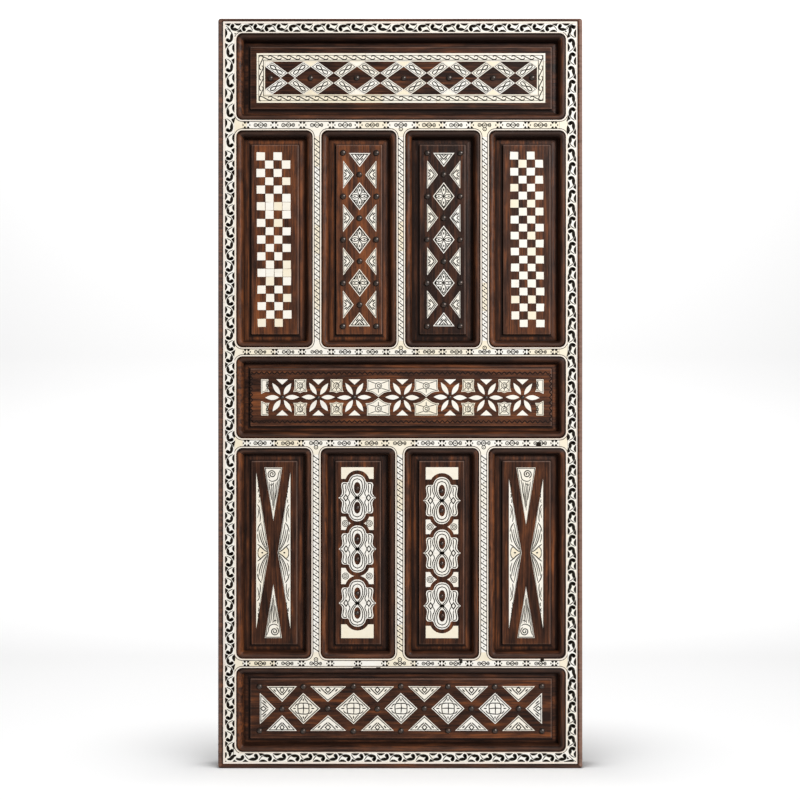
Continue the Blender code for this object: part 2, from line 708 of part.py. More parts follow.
def main():
    """Clear the scene and build the leaf."""
    for item in list(bpy.data.objects):
        bpy.data.objects.remove(item, do_unlink=True)
    frame_wood = wood("frame_wood", WOOD_COLOUR, 0.5)
    panel_wood = wood("panel_wood", PANEL_COLOUR, 0.5)
    moulding_wood = wood("moulding_wood", MOULDING_COLOUR, 0.45)
    bone = wood("bone", BONE_COLOUR, 0.4)
    build_frame(frame_wood)
    edge_bead(frame_wood)
    openings = all_openings()
    for name, opening in openings.items():
        centre = inlay_centre(name, opening)
        pockets = [moved(tile, *centre) for tile in panel_tiles(name)]
        margin = TALL_MARGIN if name[:5] in ("upper", "lower") else WIDE_MARGIN
        panel(f"panel_{name}", opening, margin, pockets, panel_wood)
        moulding(f"moulding_{name}", opening, moulding_wood)
    build_bone_facing(bone)
    build_inlays(bone, openings)


main()
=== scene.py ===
"""A framed door leaf with eleven fielded panels, faced and inlaid with engraved bone.

The leaf hangs from the flat edge at X = 0 and shows its face towards -Y. Shapes are drawn
on that face: x runs from the leaf's centre line, z from its lower edge, and depth from the
face of the bone into the leaf. Everything is in metres.
"""
import json
import math

import bpy
import numpy as np
from bpy.props import FloatProperty, FloatVectorProperty, IntProperty, PointerProperty
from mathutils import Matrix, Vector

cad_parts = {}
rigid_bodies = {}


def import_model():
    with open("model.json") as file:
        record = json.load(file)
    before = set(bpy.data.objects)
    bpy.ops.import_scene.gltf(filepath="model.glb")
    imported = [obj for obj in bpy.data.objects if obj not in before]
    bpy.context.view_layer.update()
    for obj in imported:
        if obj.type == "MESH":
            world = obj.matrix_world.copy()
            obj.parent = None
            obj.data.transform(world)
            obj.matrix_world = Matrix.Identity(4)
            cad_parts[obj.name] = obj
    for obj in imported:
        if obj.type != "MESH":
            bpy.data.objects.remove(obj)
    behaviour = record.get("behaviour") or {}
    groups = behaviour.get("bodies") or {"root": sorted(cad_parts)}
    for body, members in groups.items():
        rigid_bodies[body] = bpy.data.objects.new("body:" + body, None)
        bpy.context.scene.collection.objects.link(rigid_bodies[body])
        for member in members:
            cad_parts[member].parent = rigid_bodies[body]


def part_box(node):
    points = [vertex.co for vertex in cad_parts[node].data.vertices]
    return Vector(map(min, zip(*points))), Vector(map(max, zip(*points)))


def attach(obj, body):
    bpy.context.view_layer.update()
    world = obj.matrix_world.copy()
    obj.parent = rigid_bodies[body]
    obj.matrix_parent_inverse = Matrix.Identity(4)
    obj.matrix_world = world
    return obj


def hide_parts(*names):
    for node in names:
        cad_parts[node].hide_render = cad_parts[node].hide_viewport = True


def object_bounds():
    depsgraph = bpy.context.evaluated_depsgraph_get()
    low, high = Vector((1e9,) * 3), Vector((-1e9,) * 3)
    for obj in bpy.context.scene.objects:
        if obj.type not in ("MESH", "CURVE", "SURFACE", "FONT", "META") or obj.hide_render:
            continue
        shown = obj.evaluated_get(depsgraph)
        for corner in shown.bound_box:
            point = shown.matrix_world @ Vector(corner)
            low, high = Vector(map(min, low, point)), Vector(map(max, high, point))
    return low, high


bl_info = {
    "name": "Bone-inlaid door leaf",
    "version": (1, 0, 0),
    "blender": (4, 5, 0),
    "location": "3D View > Sidebar > Door leaf",
    "description": "Dresses a packed door leaf with timber, bone, mastic and iron nails",
    "category": "Object",
}

for item in list(bpy.data.objects):
    bpy.data.objects.remove(item, do_unlink=True)
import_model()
bpy.context.view_layer.update()
CAD_LOW, CAD_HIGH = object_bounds()

LEAF_WIDTH = CAD_HIGH[0] - CAD_LOW[0]
LEAF_DEPTH = CAD_HIGH[1] - CAD_LOW[1]
LEAF_HEIGHT = CAD_HIGH[2] - CAD_LOW[2]
MM = 0.001


# ---------------------------------------------------------------- places on the leaf
def boxed(node, grow=0.0):
    """A CAD node's front view as (left, bottom, right, top), grown all round."""
    low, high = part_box(node)
    return (low[0] - LEAF_WIDTH / 2 - grow, low[2] + LEAF_HEIGHT / 2 - grow,
            high[0] - LEAF_WIDTH / 2 + grow, high[2] + LEAF_HEIGHT / 2 + grow)


def grown(rect, left, bottom=None, right=None, top=None):
    """The rectangle with each side moved outwards by its own amount."""
    bottom, right, top = (left if side is None else side for side in (bottom, right, top))
    return rect[0] - left, rect[1] - bottom, rect[2] + right, rect[3] + top


CLEARANCE = 0.3 * MM
PANELS = ("top", "upper_1", "upper_2", "upper_3", "upper_4", "middle",
          "lower_1", "lower_2", "lower_3", "lower_4", "bottom")
OPENINGS = {name: boxed(f"moulding_{name}", CLEARANCE) for name in PANELS}
BONE = grown(boxed("bone_border"), 0.0, 0.0, -4.2 * MM, 0.0)
INNER = (OPENINGS["top"][0], OPENINGS["bottom"][1], OPENINGS["top"][2], OPENINGS["top"][3])
FILLET = 16 * MM
LEAF_CORNER = 7 * MM
FIELD_DEPTH = 12 * MM
SQUARE = np.array([(-1, -1), (1, -1), (1, 1), (-1, 1)])


# ---------------------------------------------------------------- outlines and paths
def middle(rect):
    """The centre of a rectangle."""
    return np.array([(rect[0] + rect[2]) / 2, (rect[1] + rect[3]) / 2])


def rounded(rect, radius, steps=8):
    """A rectangle with round corners: centre + radius (cos a, sin a), a quarter turn at each."""
    x0, z0, x1, z1 = rect
    angle = math.pi + np.arange(4)[:, None] * math.pi / 2 + np.linspace(0, math.pi / 2, steps + 1)
    radius = np.broadcast_to(radius, (4,))[:, None]
    cx = np.array([[x0], [x1], [x1], [x0]]) + radius * np.array([[1], [-1], [-1], [1]])
    cz = np.array([[z0], [z0], [z1], [z1]]) + radius * np.array([[1], [1], [-1], [-1]])
    return np.stack([cx + radius * np.cos(angle), cz + radius * np.sin(angle)], -1).reshape(-1, 2)


def arc(centre, radius, start, end, steps=8):
    """Points along an arc between two angles in degrees."""
    angle = np.radians(np.linspace(start, end, steps + 1))
    return np.asarray(centre) + radius * np.stack([np.cos(angle), np.sin(angle)], -1)


def drawn_in(outline, gap):
    """A closed outline with every side moved inwards by gap.

    Each corner moves along the sum of its two sides' unit normals, by gap over one plus
    their dot product.
    """
    outline = np.asarray(outline, float)
    beyond = np.roll(outline, -1, axis=0)
    if (outline[:, 0] * beyond[:, 1] - beyond[:, 0] * outline[:, 1]).sum() < 0:
        gap = -gap
    edge = beyond - outline
    edge = edge / np.maximum(np.hypot(edge[:, 0], edge[:, 1]), 1e-9)[:, None]
    normal = np.stack([-edge[:, 1], edge[:, 0]], -1)
    both = normal + np.roll(normal, 1, axis=0)
    dot = (normal * np.roll(normal, 1, axis=0)).sum(1)
    return outline + both * (gap / np.maximum(1 + dot, 0.35))[:, None]


def spline(points, per_span=4):
    """A Catmull-Rom curve through rows of numbers, with per_span steps between rows."""
    rows = np.asarray(points, float)
    padded = np.vstack([2 * rows[0] - rows[1], rows, 2 * rows[-1] - rows[-2]])
    p0, p1, p2, p3 = padded[:-3], padded[1:-2], padded[2:-1], padded[3:]
    t = np.linspace(0, 1, per_span, endpoint=False)[None, :, None]
    p0, p1, p2, p3 = (p[:, None] for p in (p0, p1, p2, p3))
    curve = 0.5 * (2 * p1 + (p2 - p0) * t + (2 * p0 - 5 * p1 + 4 * p2 - p3) * t ** 2
                   + (3 * p1 - p0 - 3 * p2 + p3) * t ** 3)
    return np.vstack([curve.reshape(-1, rows.shape[1]), rows[-1]])


def at_depth(outline, depth):
    """An outline's points with their depth beside them."""
    outline = np.asarray(outline, float)
    return np.column_stack([outline, np.broadcast_to(depth, len(outline))])


class Bench:
    """Closed skins gathered as whole arrays, then laid into one mesh."""

    def __init__(self):
        self.points, self.faces = [], []
        self.tint, self.wear, self.grain = [], [], []
        self.count = 0

    def skin(self, rings, tint=0.0, wear=0.0, grain=None, endless=False):
        """Joins each ring of (x, z, depth) points to the next, and closes both ends.

        Quad (i, j) joins points j and j + 1 of rings i and i + 1. endless joins the last
        ring to the first. The faces are turned so that the volume inside is positive.
        """
        rings = np.asarray(rings, float)
        stations, around = rings.shape[:2]
        place = rings.reshape(-1, 3)
        world = np.column_stack([place[:, 0] + LEAF_WIDTH / 2, place[:, 2] - LEAF_DEPTH / 2,
                                 place[:, 1] - LEAF_HEIGHT / 2])
        index = np.arange(len(place)).reshape(stations, around)
        beyond = np.roll(index, -1, axis=0)
        first, second = (index, beyond) if endless else (index[:-1], beyond[:-1])
        quads = np.stack([first, np.roll(first, -1, axis=1), np.roll(second, -1, axis=1), second],
                         -1).reshape(-1, 4)
        caps = [] if endless else [index[0, ::-1], index[-1]]
        a, b, c, d = (world[quads[:, i]] for i in range(4))
        volume = (np.cross(b, c) * a).sum() + (np.cross(c, d) * a).sum()
        for cap in caps:
            ring = world[cap]
            volume += (np.cross(ring[1:-1], ring[2:]) * ring[0]).sum()
        faces = quads.tolist() + [cap.tolist() for cap in caps]
        if volume < 0:
            faces = [face[::-1] for face in faces]
        self.faces += [[corner + self.count for corner in face] for face in faces]
        self.points.append(world)
        self.tint.append(np.broadcast_to(tint, (stations, around)).reshape(-1).astype(float))
        self.wear.append(np.broadcast_to(wear, (stations, around)).reshape(-1).astype(float))
        self.grain.append(place if grain is None else np.asarray(grain, float).reshape(-1, 3))
        self.count += len(place)

    def tile(self, outline, top, thickness, edge=0.3 * MM, tint=0.0, grain=None, wear=0.0):
        """A flat tile whose upper arris is eased: walls up, then in by edge."""
        rings = [at_depth(outline, top + thickness), at_depth(outline, top + edge),
                 at_depth(drawn_in(outline, edge), top)]
        if grain is not None:
            grain = grain(np.asarray(rings))
        self.skin(rings, tint=tint, wear=[[-1.0], [-1.0], [wear]], grain=grain)

    def cut(self, path, half_width, top, bite=0.5 * MM, **looks):
        """A graver's cut filled level: a V whose flat top is half_width either side of a path.

        Left and right are the path plus and minus its unit normal times the half width.
        """
        path = np.asarray(path, float)
        along = np.gradient(path, axis=0)
        along /= np.maximum(np.hypot(along[:, 0], along[:, 1]), 1e-9)[:, None]
        side = np.stack([-along[:, 1], along[:, 0]], -1) * np.reshape(half_width, (-1, 1))
        rings = np.stack([at_depth(path + side, top), at_depth(path - side, top),
                          at_depth(path, top + bite)], axis=1)
        self.skin(rings, **looks)

    def dot(self, centre, radius, top, sides=8, squeeze=(1.0, 1.0)):
        """A filled round hole, drawn as a shallow cone under a flat top."""
        rim = arc((0, 0), radius, 0, 360 - 360 / sides, sides - 1) * squeeze + centre
        self.skin([at_depth(rim, top), at_depth(np.asarray(centre) + (rim - centre) * 0.4,
                                                top + 0.5 * MM)])

    def piece(self, name, look, replaces=(), smooth=None):
        """Makes the object, with its tint, its wear with painted light and shade, and its grain kept on
        its points.
        """
        mesh = bpy.data.meshes.new(name)
        mesh.from_pydata(np.vstack(self.points).tolist(), [], self.faces)
        for title, kind, values in (("tint", "FLOAT", self.tint), ("wear", "FLOAT", self.wear)):
            mesh.attributes.new(title, kind, "POINT").data.foreach_set(
                "value", np.concatenate(values))
        mesh.attributes.new("grain", "FLOAT_VECTOR", "POINT").data.foreach_set(
            "vector", np.vstack(self.grain).ravel())
        if smooth is not None:
            mesh.shade_smooth()
            mesh.set_sharp_from_angle(angle=math.radians(smooth))
        mesh.materials.append(finish(look))
        obj = bpy.data.objects.new(name, mesh)
        bpy.context.scene.collection.objects.link(obj)
        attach(obj, "root")
        if replaces:
            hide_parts(*replaces)
        return obj


# ---------------------------------------------------------------- finishes
class Nodes:
    """A short hand for wiring a node tree."""

    def __init__(self, tree):
        self.tree = tree

    def add(self, kind, **inputs):
        """A node with its inputs set to values, or linked where they are sockets."""
        settings = {key[1:]: inputs.pop(key) for key in list(inputs) if key.startswith("_")}
        node = self.tree.nodes.new(kind)
        for key, value in settings.items():
            setattr(node, key, value)
        for key, value in inputs.items():
            socket = node.inputs[int(key[1:]) if key[1:].isdigit() else key.replace("_", " ")]
            if isinstance(value, bpy.types.NodeSocket):
                self.tree.links.new(value, socket)
            else:
                socket.default_value = value
        return node

    def math(self, operation, a, b=0.0, clamp=False):
        """The result of a Math node."""
        return self.add("ShaderNodeMath", _operation=operation, _use_clamp=clamp, i0=a,
                        i1=b).outputs[0]

    def mix(self, factor, a, b, blend="MIX"):
        """The result of mixing two colours."""
        node = self.add("ShaderNodeMix", _data_type="RGBA", _blend_type=blend, i0=factor, i6=a, i7=b)
        return node.outputs[2]

    def ramp(self, factor, *stops):
        """A colour ramp through (position, colour) stops."""
        node = self.add("ShaderNodeValToRGB", Fac=factor)
        elements = node.color_ramp.elements
        while len(elements) < len(stops):
            elements.new(1.0)
        for element, (position, colour) in zip(elements, stops):
            element.position = position
            element.color = (*colour, 1.0) if len(colour) == 3 else colour
        return node.outputs["Color"]

    def noise(self, vector, scale, detail=4.0, roughness=0.5):
        """The value of a noise texture."""
        return self.add("ShaderNodeTexNoise", Vector=vector, Scale=scale, Detail=detail,
                        Roughness=roughness).outputs[0]

    def stretched(self, vector, scale):
        """A vector scaled on each axis."""
        return self.add("ShaderNodeMapping", _vector_type="POINT", Vector=vector,
                        Scale=scale).outputs[0]

    def attribute(self, name, output="Fac"):
        """A value kept on the mesh."""
        return self.add("ShaderNodeAttribute", _attribute_name=name).outputs[output]


def group(name, inputs, outputs):
    """A new shader group and its Nodes, with named sockets as (name, kind, default)."""
    tree = bpy.data.node_groups.new(name, "ShaderNodeTree")
    for title, kind, default in inputs:
        socket = tree.interface.new_socket(title, in_out="INPUT", socket_type=kind)
        if default is not None:
            socket.default_value = default
    for title, kind in outputs:
        tree.interface.new_socket(title, in_out="OUTPUT", socket_type=kind)
    nodes = Nodes(tree)
    return tree, nodes, nodes.add("NodeGroupInput").outputs, nodes.add("NodeGroupOutput").inputs


def timber_grain():
    """Figure, blotches, streaks and open pores drawn out along the grain of a board."""
    tree, n, given, out = group(
        "Timber grain",
        [("Grain", "NodeSocketVector", None), ("Streak Width", "NodeSocketFloat", 1.0)],
        [("Figure", "NodeSocketFloat"), ("Blotches", "NodeSocketFloat"),
         ("Streaks", "NodeSocketFloat"), ("Pores", "NodeSocketFloat")])
    width = given["Streak Width"]
    board = n.add("ShaderNodeVectorMath", _operation="SCALE", i0=given["Grain"], Scale=width)
    board = board.outputs[0]
    sway = n.noise(n.stretched(board, (2.0, 9.0, 9.0)), 1.0, 2.0)
    swayed = n.add("ShaderNodeVectorMath", _operation="MULTIPLY_ADD",
                   i0=n.add("ShaderNodeCombineXYZ", X=0.0, Y=sway, Z=sway).outputs[0],
                   i1=(0.0, 0.02, 0.02), i2=board).outputs[0]
    figure = n.noise(n.stretched(swayed, (3.4, 44.0, 44.0)), 1.0, 3.0, 0.55)
    blotches = n.noise(n.stretched(swayed, (15.0, 38.0, 38.0)), 1.0, 3.0, 0.6)
    streaks = n.noise(n.stretched(swayed, (8.0, 190.0, 190.0)), 1.0, 5.0, 0.66)
    pores = n.noise(n.stretched(swayed, (38.0, 1300.0, 1300.0)), 1.0, 2.0, 0.5)
    n.tree.links.new(figure, out["Figure"])
    n.tree.links.new(blotches, out["Blotches"])
    n.tree.links.new(streaks, out["Streaks"])
    n.tree.links.new(n.add("ShaderNodeMapRange", Value=pores, i1=0.56, i2=0.72).outputs[0],
                     out["Pores"])
    return tree


def soiling():
    """Dirt that gathers in patches: a cloud of large and small spots."""
    tree, n, given, out = group(
        "Soiling", [("Place", "NodeSocketVector", None), ("Spread", "NodeSocketFloat", 0.5)],
        [("Dirt", "NodeSocketFloat"), ("Specks", "NodeSocketFloat")])
    cloud = n.noise(given["Place"], 22.0, 5.0, 0.6)
    specks = n.noise(given["Place"], 420.0, 3.0, 0.6)
    low = n.math("SUBTRACT", 0.78, n.math("MULTIPLY", given["Spread"], 0.5))
    dirt_and_shade = n.add("ShaderNodeMapRange", Value=cloud, i1=low, i2=0.85).outputs[0]
    n.tree.links.new(dirt_and_shade, out["Dirt"])
    n.tree.links.new(n.add("ShaderNodeMapRange", Value=specks, i1=0.62, i2=0.74).outputs[0],
                     out["Specks"])
    return tree


def new_material(name, **fixed):
    """A material, its Nodes and its shader with the fixed values set on it."""
    material = bpy.data.materials.new(name)
    material.use_nodes = True
    nodes = Nodes(material.node_tree)
    shader = material.node_tree.nodes["Principled BSDF"]
    for key, value in fixed.items():
        shader.inputs[key.replace("_", " ")].default_value = value
    return material, nodes, shader


def bumped(nodes, shader, height, distance, strength=1.0):
    """Feeds a height to the shader's normal through a Bump node."""
    bump = nodes.add("ShaderNodeBump", Height=height, Distance=distance, Strength=strength)
    nodes.tree.links.new(bump.outputs[0], shader.inputs["Normal"])


def timber(name, dark, mid, warm, worn_and_lit):
    """Old polished timber: dark boards with warm streaks, worn pale on its edges. The pale colour is
    also laid on as painted highlight, and the dark one as painted shade, where the points' values say
    so.
    """
    material, n, shader = new_material(name, Specular_IOR_Level=0.14)
    grain = n.attribute("grain", "Vector")
    figure = n.add("ShaderNodeGroup", _node_tree=bpy.data.node_groups["Timber grain"],
                   Grain=grain)
    soil = n.add("ShaderNodeGroup", _node_tree=bpy.data.node_groups["Soiling"],
                 Place=n.add("ShaderNodeTexCoord").outputs["Object"], Spread=0.5)
    tint, wear = n.attribute("tint"), n.attribute("wear")
    tone = n.math("ADD", n.math("MULTIPLY", figure.outputs["Figure"], 1.15),
                  n.math("MULTIPLY", figure.outputs["Streaks"], 1.45))
    tone = n.math("ADD", tone, n.math("MULTIPLY", figure.outputs["Blotches"], 0.9))
    tone = n.math("ADD", n.math("SUBTRACT", tone, 1.25), n.math("MULTIPLY", tint, 0.16))
    colour = n.ramp(tone, (0.12, dark), (0.48, mid), (0.92, warm))
    colour = n.mix(n.math("MULTIPLY", figure.outputs["Pores"], 0.55), colour, (*dark, 1.0))
    # pale where the edges are rubbed, and where a painted highlight is laid on
    rubbed_and_highlight = n.math("MULTIPLY", n.math("MAXIMUM", wear, 0.0), figure.outputs["Streaks"])
    colour = n.mix(n.math("MULTIPLY", rubbed_and_highlight, 0.9, clamp=True), colour, (*worn_and_lit, 1.0))
    # dark with dirt and in the hollows, and where painted shade is laid on
    grime_and_shade = n.math("MAXIMUM", n.math("MULTIPLY", wear, -0.8),
                   n.math("MULTIPLY", soil.outputs["Dirt"], 0.45))
    colour = n.mix(grime_and_shade, colour, tuple(0.45 * c for c in dark) + (1.0,))
    n.tree.links.new(colour, shader.inputs["Base Color"])
    rough = n.math("ADD", 0.34, n.math("MULTIPLY", figure.outputs["Streaks"], 0.22))
    rough = n.math("ADD", rough, n.math("MULTIPLY", grime_and_shade, 0.3))
    n.tree.links.new(rough, shader.inputs["Roughness"])
    height = n.math("SUBTRACT", figure.outputs["Streaks"],
                    n.math("MULTIPLY", figure.outputs["Pores"], 0.5))
    bumped(n, shader, height, 0.5 * MM, 0.7)
    return material


def bone(name, pale, yellow, dirty_and_shaded, pink):
    """Polished bone: ivory plates, some yellower, with fine veins and soiled edges."""
    material, n, shader = new_material(name, Specular_IOR_Level=0.5)
    place = n.add("ShaderNodeTexCoord").outputs["Object"]
    soil = n.add("ShaderNodeGroup", _node_tree=bpy.data.node_groups["Soiling"], Place=place,
                 Spread=0.42)
    tint, wear = n.attribute("tint"), n.attribute("wear")
    cloud = n.noise(place, 60.0, 4.0, 0.6)
    tone = n.math("ADD", tint, n.math("MULTIPLY", n.math("SUBTRACT", cloud, 0.5), 0.5), clamp=True)
    colour = n.mix(tone, (*pale, 1.0), (*yellow, 1.0))
    veins = n.noise(n.stretched(n.attribute("grain", "Vector"), (60.0, 900.0, 900.0)), 1.0, 3.0)
    veins = n.add("ShaderNodeMapRange", Value=veins, i1=0.55, i2=0.75).outputs[0]
    colour = n.mix(n.math("MULTIPLY", veins, 0.10), colour, (*dirty_and_shaded, 1.0))
    colour = n.mix(n.math("MULTIPLY", wear, -0.5, clamp=True), colour, (*pink, 1.0))
    grime_and_shade = n.math("MAXIMUM", n.math("MULTIPLY", soil.outputs["Dirt"], 0.30),
                   n.math("MULTIPLY", soil.outputs["Specks"], 0.16))
    colour = n.mix(grime_and_shade, colour, (*dirty_and_shaded, 1.0))
    n.tree.links.new(colour, shader.inputs["Base Color"])
    n.tree.links.new(n.math("ADD", 0.33, n.math("MULTIPLY", cloud, 0.22)),
                     shader.inputs["Roughness"])
    bumped(n, shader, n.math("ADD", veins, cloud), 0.15 * MM, 0.5)
    return material


def mastic(name, colour):
    """Black filling, slightly mottled and dull."""
    material, n, shader = new_material(name, Specular_IOR_Level=0.05)
    cloud = n.noise(n.add("ShaderNodeTexCoord").outputs["Object"], 240.0, 3.0)
    n.tree.links.new(n.mix(cloud, (*colour, 1.0), tuple(2.2 * c for c in colour) + (1.0,)),
                     shader.inputs["Base Color"])
    n.tree.links.new(n.math("ADD", 0.5, n.math("MULTIPLY", cloud, 0.3)),
                     shader.inputs["Roughness"])
    bumped(n, shader, cloud, 0.1 * MM, 0.5)
    return material


def iron(name, colour, rust):
    """Forged iron nails, dark and pitted, with a little rust."""
    material, n, shader = new_material(name)
    place = n.add("ShaderNodeTexCoord").outputs["Object"]
    pits = n.noise(place, 900.0, 4.0, 0.65)
    patches = n.add("ShaderNodeMapRange", Value=n.noise(place, 160.0, 3.0), i1=0.45,
                    i2=0.65).outputs[0]
    n.tree.links.new(n.mix(patches, (*colour, 1.0), (*rust, 1.0)), shader.inputs["Base Color"])
    n.tree.links.new(n.math("SUBTRACT", 0.85, n.math("MULTIPLY", patches, 0.5)),
                     shader.inputs["Metallic"])
    n.tree.links.new(n.math("ADD", 0.2, n.math("MULTIPLY", pits, 0.3)),
                     shader.inputs["Roughness"])
    bumped(n, shader, pits, 0.15 * MM, 0.5)
    return material


def finish(name):
    """A finish by its name, made when it is first asked for."""
    if name in bpy.data.materials:
        return bpy.data.materials[name]
    look = bpy.context.scene.door_finishes
    if "Timber grain" not in bpy.data.node_groups:
        timber_grain()
        soiling()
    dark, mid = tuple(look.timber_dark), tuple(look.timber_mid)
    warm, worn_and_lit = tuple(look.timber_warm), tuple(look.timber_worn_and_lit)
    if name == "Frame timber":
        return timber(name, dark, mid, warm, worn_and_lit)
    if name == "Panel timber":
        return timber(name, dark, tuple(1.25 * c for c in mid), tuple(1.25 * c for c in warm), worn_and_lit)
    if name == "Engraved bone":
        return bone(name, tuple(look.bone_pale), tuple(look.bone_yellow), tuple(look.bone_soiled),
                    tuple(look.bone_lines))
    if name == "Black mastic":
        return mastic(name, tuple(look.mastic))
    if name == "Nail iron":
        return iron(name, tuple(look.iron), tuple(look.rust))
    raise ValueError(f"no finish is called {name}")


# ---------------------------------------------------------------- settings
def colour_setting(title, about, default):
    """A colour that the user may change."""
    return FloatVectorProperty(name=title, description=about, default=default, size=3, min=0.0,
                               max=1.0, subtype="COLOR")


def length_setting(title, about, default):
    """A length that the user may change."""
    return FloatProperty(name=title, description=about, default=default, min=0.0,
                         precision=4, unit="LENGTH", subtype="DISTANCE")


def power_setting(title, about, default):
    """A lamp's power that the user may change."""
    return FloatProperty(name=title, description=about, default=default, min=0.0, unit="POWER")


class DoorFinishes(bpy.types.PropertyGroup):
    """The colours of the leaf's timber, bone, mastic and iron."""

    timber_dark: colour_setting("Timber, dark", "Darkest lines of the grain",
                                (0.0135, 0.0046, 0.0022))
    timber_mid: colour_setting("Timber, middle", "The timber's ground colour",
                               (0.0500, 0.0176, 0.0082))
    timber_warm: colour_setting("Timber, warm", "The reddish streaks", (0.170, 0.052, 0.016))
    # the colour of rubbed edges, also laid on as painted highlight on the fields' edges and the bead's
    # crest
    timber_worn_and_lit: colour_setting("Timber, worn", "Rubbed edges", (0.235, 0.145, 0.112))
    bone_pale: colour_setting("Bone, pale", "Clean bone", (0.87, 0.845, 0.785))
    bone_yellow: colour_setting("Bone, yellow", "Aged bone", (0.82, 0.71, 0.49))
    bone_soiled: colour_setting("Bone, soiled", "Dirt on the bone", (0.36, 0.27, 0.18))
    bone_lines: colour_setting("Bone, lines", "The pinkish lines round the openings",
                               (0.74, 0.52, 0.41))
    mastic: colour_setting("Mastic", "The black filling", (0.008, 0.006, 0.004))
    iron: colour_setting("Iron", "The nails", (0.060, 0.052, 0.047))
    rust: colour_setting("Rust", "Rust on the nails", (0.050, 0.024, 0.014))
    seed: IntProperty(name="Seed", description="Chooses the tone of each plate and board",
                      default=7, min=0)


class DoorFacing(bpy.types.PropertyGroup):
    """The sizes of the bone facing over the frame."""

    outer_line: length_setting("Outer line", "Plain bone line inside the bead", 5.2 * MM)
    rail_line: length_setting("Rail line", "Plain bone line round each opening", 4.4 * MM)
    groove: length_setting("Dark line", "Width of the mastic line beside it", 1.8 * MM)
    joint: length_setting("Joint", "Gap between bone plates", 0.25 * MM)
    bone_thickness: length_setting("Bone", "Thickness of the bone plates", 2.6 * MM)
    nail_width: length_setting("Nail head", "Diameter of the domed nails", 16.3 * MM)


class DoorStage(bpy.types.PropertyGroup):
    """The camera and the light."""

    distance: length_setting("Camera distance", "From the face of the leaf", 2.4)
    lens: FloatProperty(name="Lens", description="Focal length in millimetres", default=40.9,
                        min=1.0, unit="CAMERA")
    key: power_setting("Key light", "Power of the light at the upper right", 1800.0)
    fill: power_setting("Fill light", "Power of the light in front", 12.0)
    overhead: power_setting("Overhead light", "Power of the high light on the floor", 352.0)
    backdrop: power_setting("Backdrop light", "Power of the light on the backdrop", 585.0)
    back: power_setting("Back light", "Power of the light behind the leaf", 60.0)
    sky: FloatProperty(name="Sky", description="Strength of the light from all round",
                       default=0.24, min=0.0)


def chance(salt):
    """Random numbers that are the same on every run."""
    return np.random.default_rng(bpy.context.scene.door_finishes.seed * 1000 + salt)


# ---------------------------------------------------------------- timber
def board_grain(rings, upright, offset):
    """Grain coordinates (along, across, depth) of a board, moved by its own offset."""
    rings = np.asarray(rings, float)
    order = (1, 0, 2) if upright else (0, 1, 2)
    return rings[..., order] + np.asarray(offset)


class DOOR_OT_frame_timber(bpy.types.Operator):
    """Stiles, rails and muntins as boards with eased arrises"""

    bl_idname = "door.frame_timber"
    bl_label = "Frame timber"

    def execute(self, context):
        """Each board is a rounded rectangle carried through its depth and drawn in at the arris."""
        draw = chance(1)
        boards = ["left_stile", "right_stile", "top_rail", "bottom_rail"]
        boards += [f"cross_rail_{i}" for i in range(1, 5)]
        boards += [f"{row}_muntin_{i}" for row in ("upper", "lower") for i in range(1, 4)]
        for name in boards:
            bench = Bench()
            low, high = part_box(name)
            rect = boxed(name)
            front, back = low[1] + LEAF_DEPTH / 2, high[1] + LEAF_DEPTH / 2
            upright = "stile" in name or "muntin" in name
            if "rail" in name:
                rect = (INNER[0] + CLEARANCE, rect[1], INNER[2] - CLEARANCE, rect[3])
            if "muntin" in name:
                opening = OPENINGS[name[:5] + "_1"]
                rect = (rect[0], opening[1] + CLEARANCE, rect[2], opening[3] - CLEARANCE)
            ease = 1.2 * MM
            corner = np.full(4, 0.4 * MM)
            if name == "left_stile":
                corner[[0, 3]] = LEAF_CORNER
            if name == "right_stile":
                corner[[1, 2]] = LEAF_CORNER
            steps = ((front, ease), (front + ease, 0.0), (back - ease, 0.0),
                     (back - 0.3 * ease, 0.3 * ease), (back, ease))
            rings = [at_depth(rounded(grown(rect, -inset), np.maximum(corner - inset, 0.1 * MM), 6),
                              depth) for depth, inset in steps]
            wear = [[0.0], [0.3], [0.3], [0.8], [0.0]]
            bench.skin(rings, tint=draw.uniform(-0.7, 0.4), wear=wear,
                       grain=board_grain(rings, upright, draw.uniform(0, 9, 3)))
            bench.piece(f"timber_{name}", "Frame timber", [name], smooth=35)
        return {"FINISHED"}


# the bead's section as (share of the way in, depth in mm, wear): its crest is pale, partly rubbed
# and partly a painted highlight, and its quirk by the bone darker; then the painted light, and the
# rubbing with painted highlight, of its left, bottom, right and top lengths, brightest on the right,
# towards the key light
BEAD_SECTION = np.array([
    (0.0, 3.0, -0.6), (0.0, 1.4, -0.2), (0.015, 0.8, 0.4), (0.05, 0.4, 0.9), (0.16, 0.12, 1.0),
    (0.32, 0.0, 1.0), (0.50, 0.0, 0.9), (0.66, 0.15, 0.5), (0.78, 0.6, 0.0), (0.86, 1.2, -0.5),
    (0.92, 1.9, -0.9), (1.0, 1.5, -0.4), (1.0, 3.0, 0.0)])
BEAD_SIDE_LIGHT, BEAD_RUBBING_AND_HIGHLIGHT = (-0.4, -1.4, 0.9, -1.0), (0.85, 0.25, 1.9, 0.8)


def by_side(values):
    """Values for the left, bottom, right and top, spread over a rounded rectangle's points."""
    return np.roll(np.repeat(values, 9), -4)


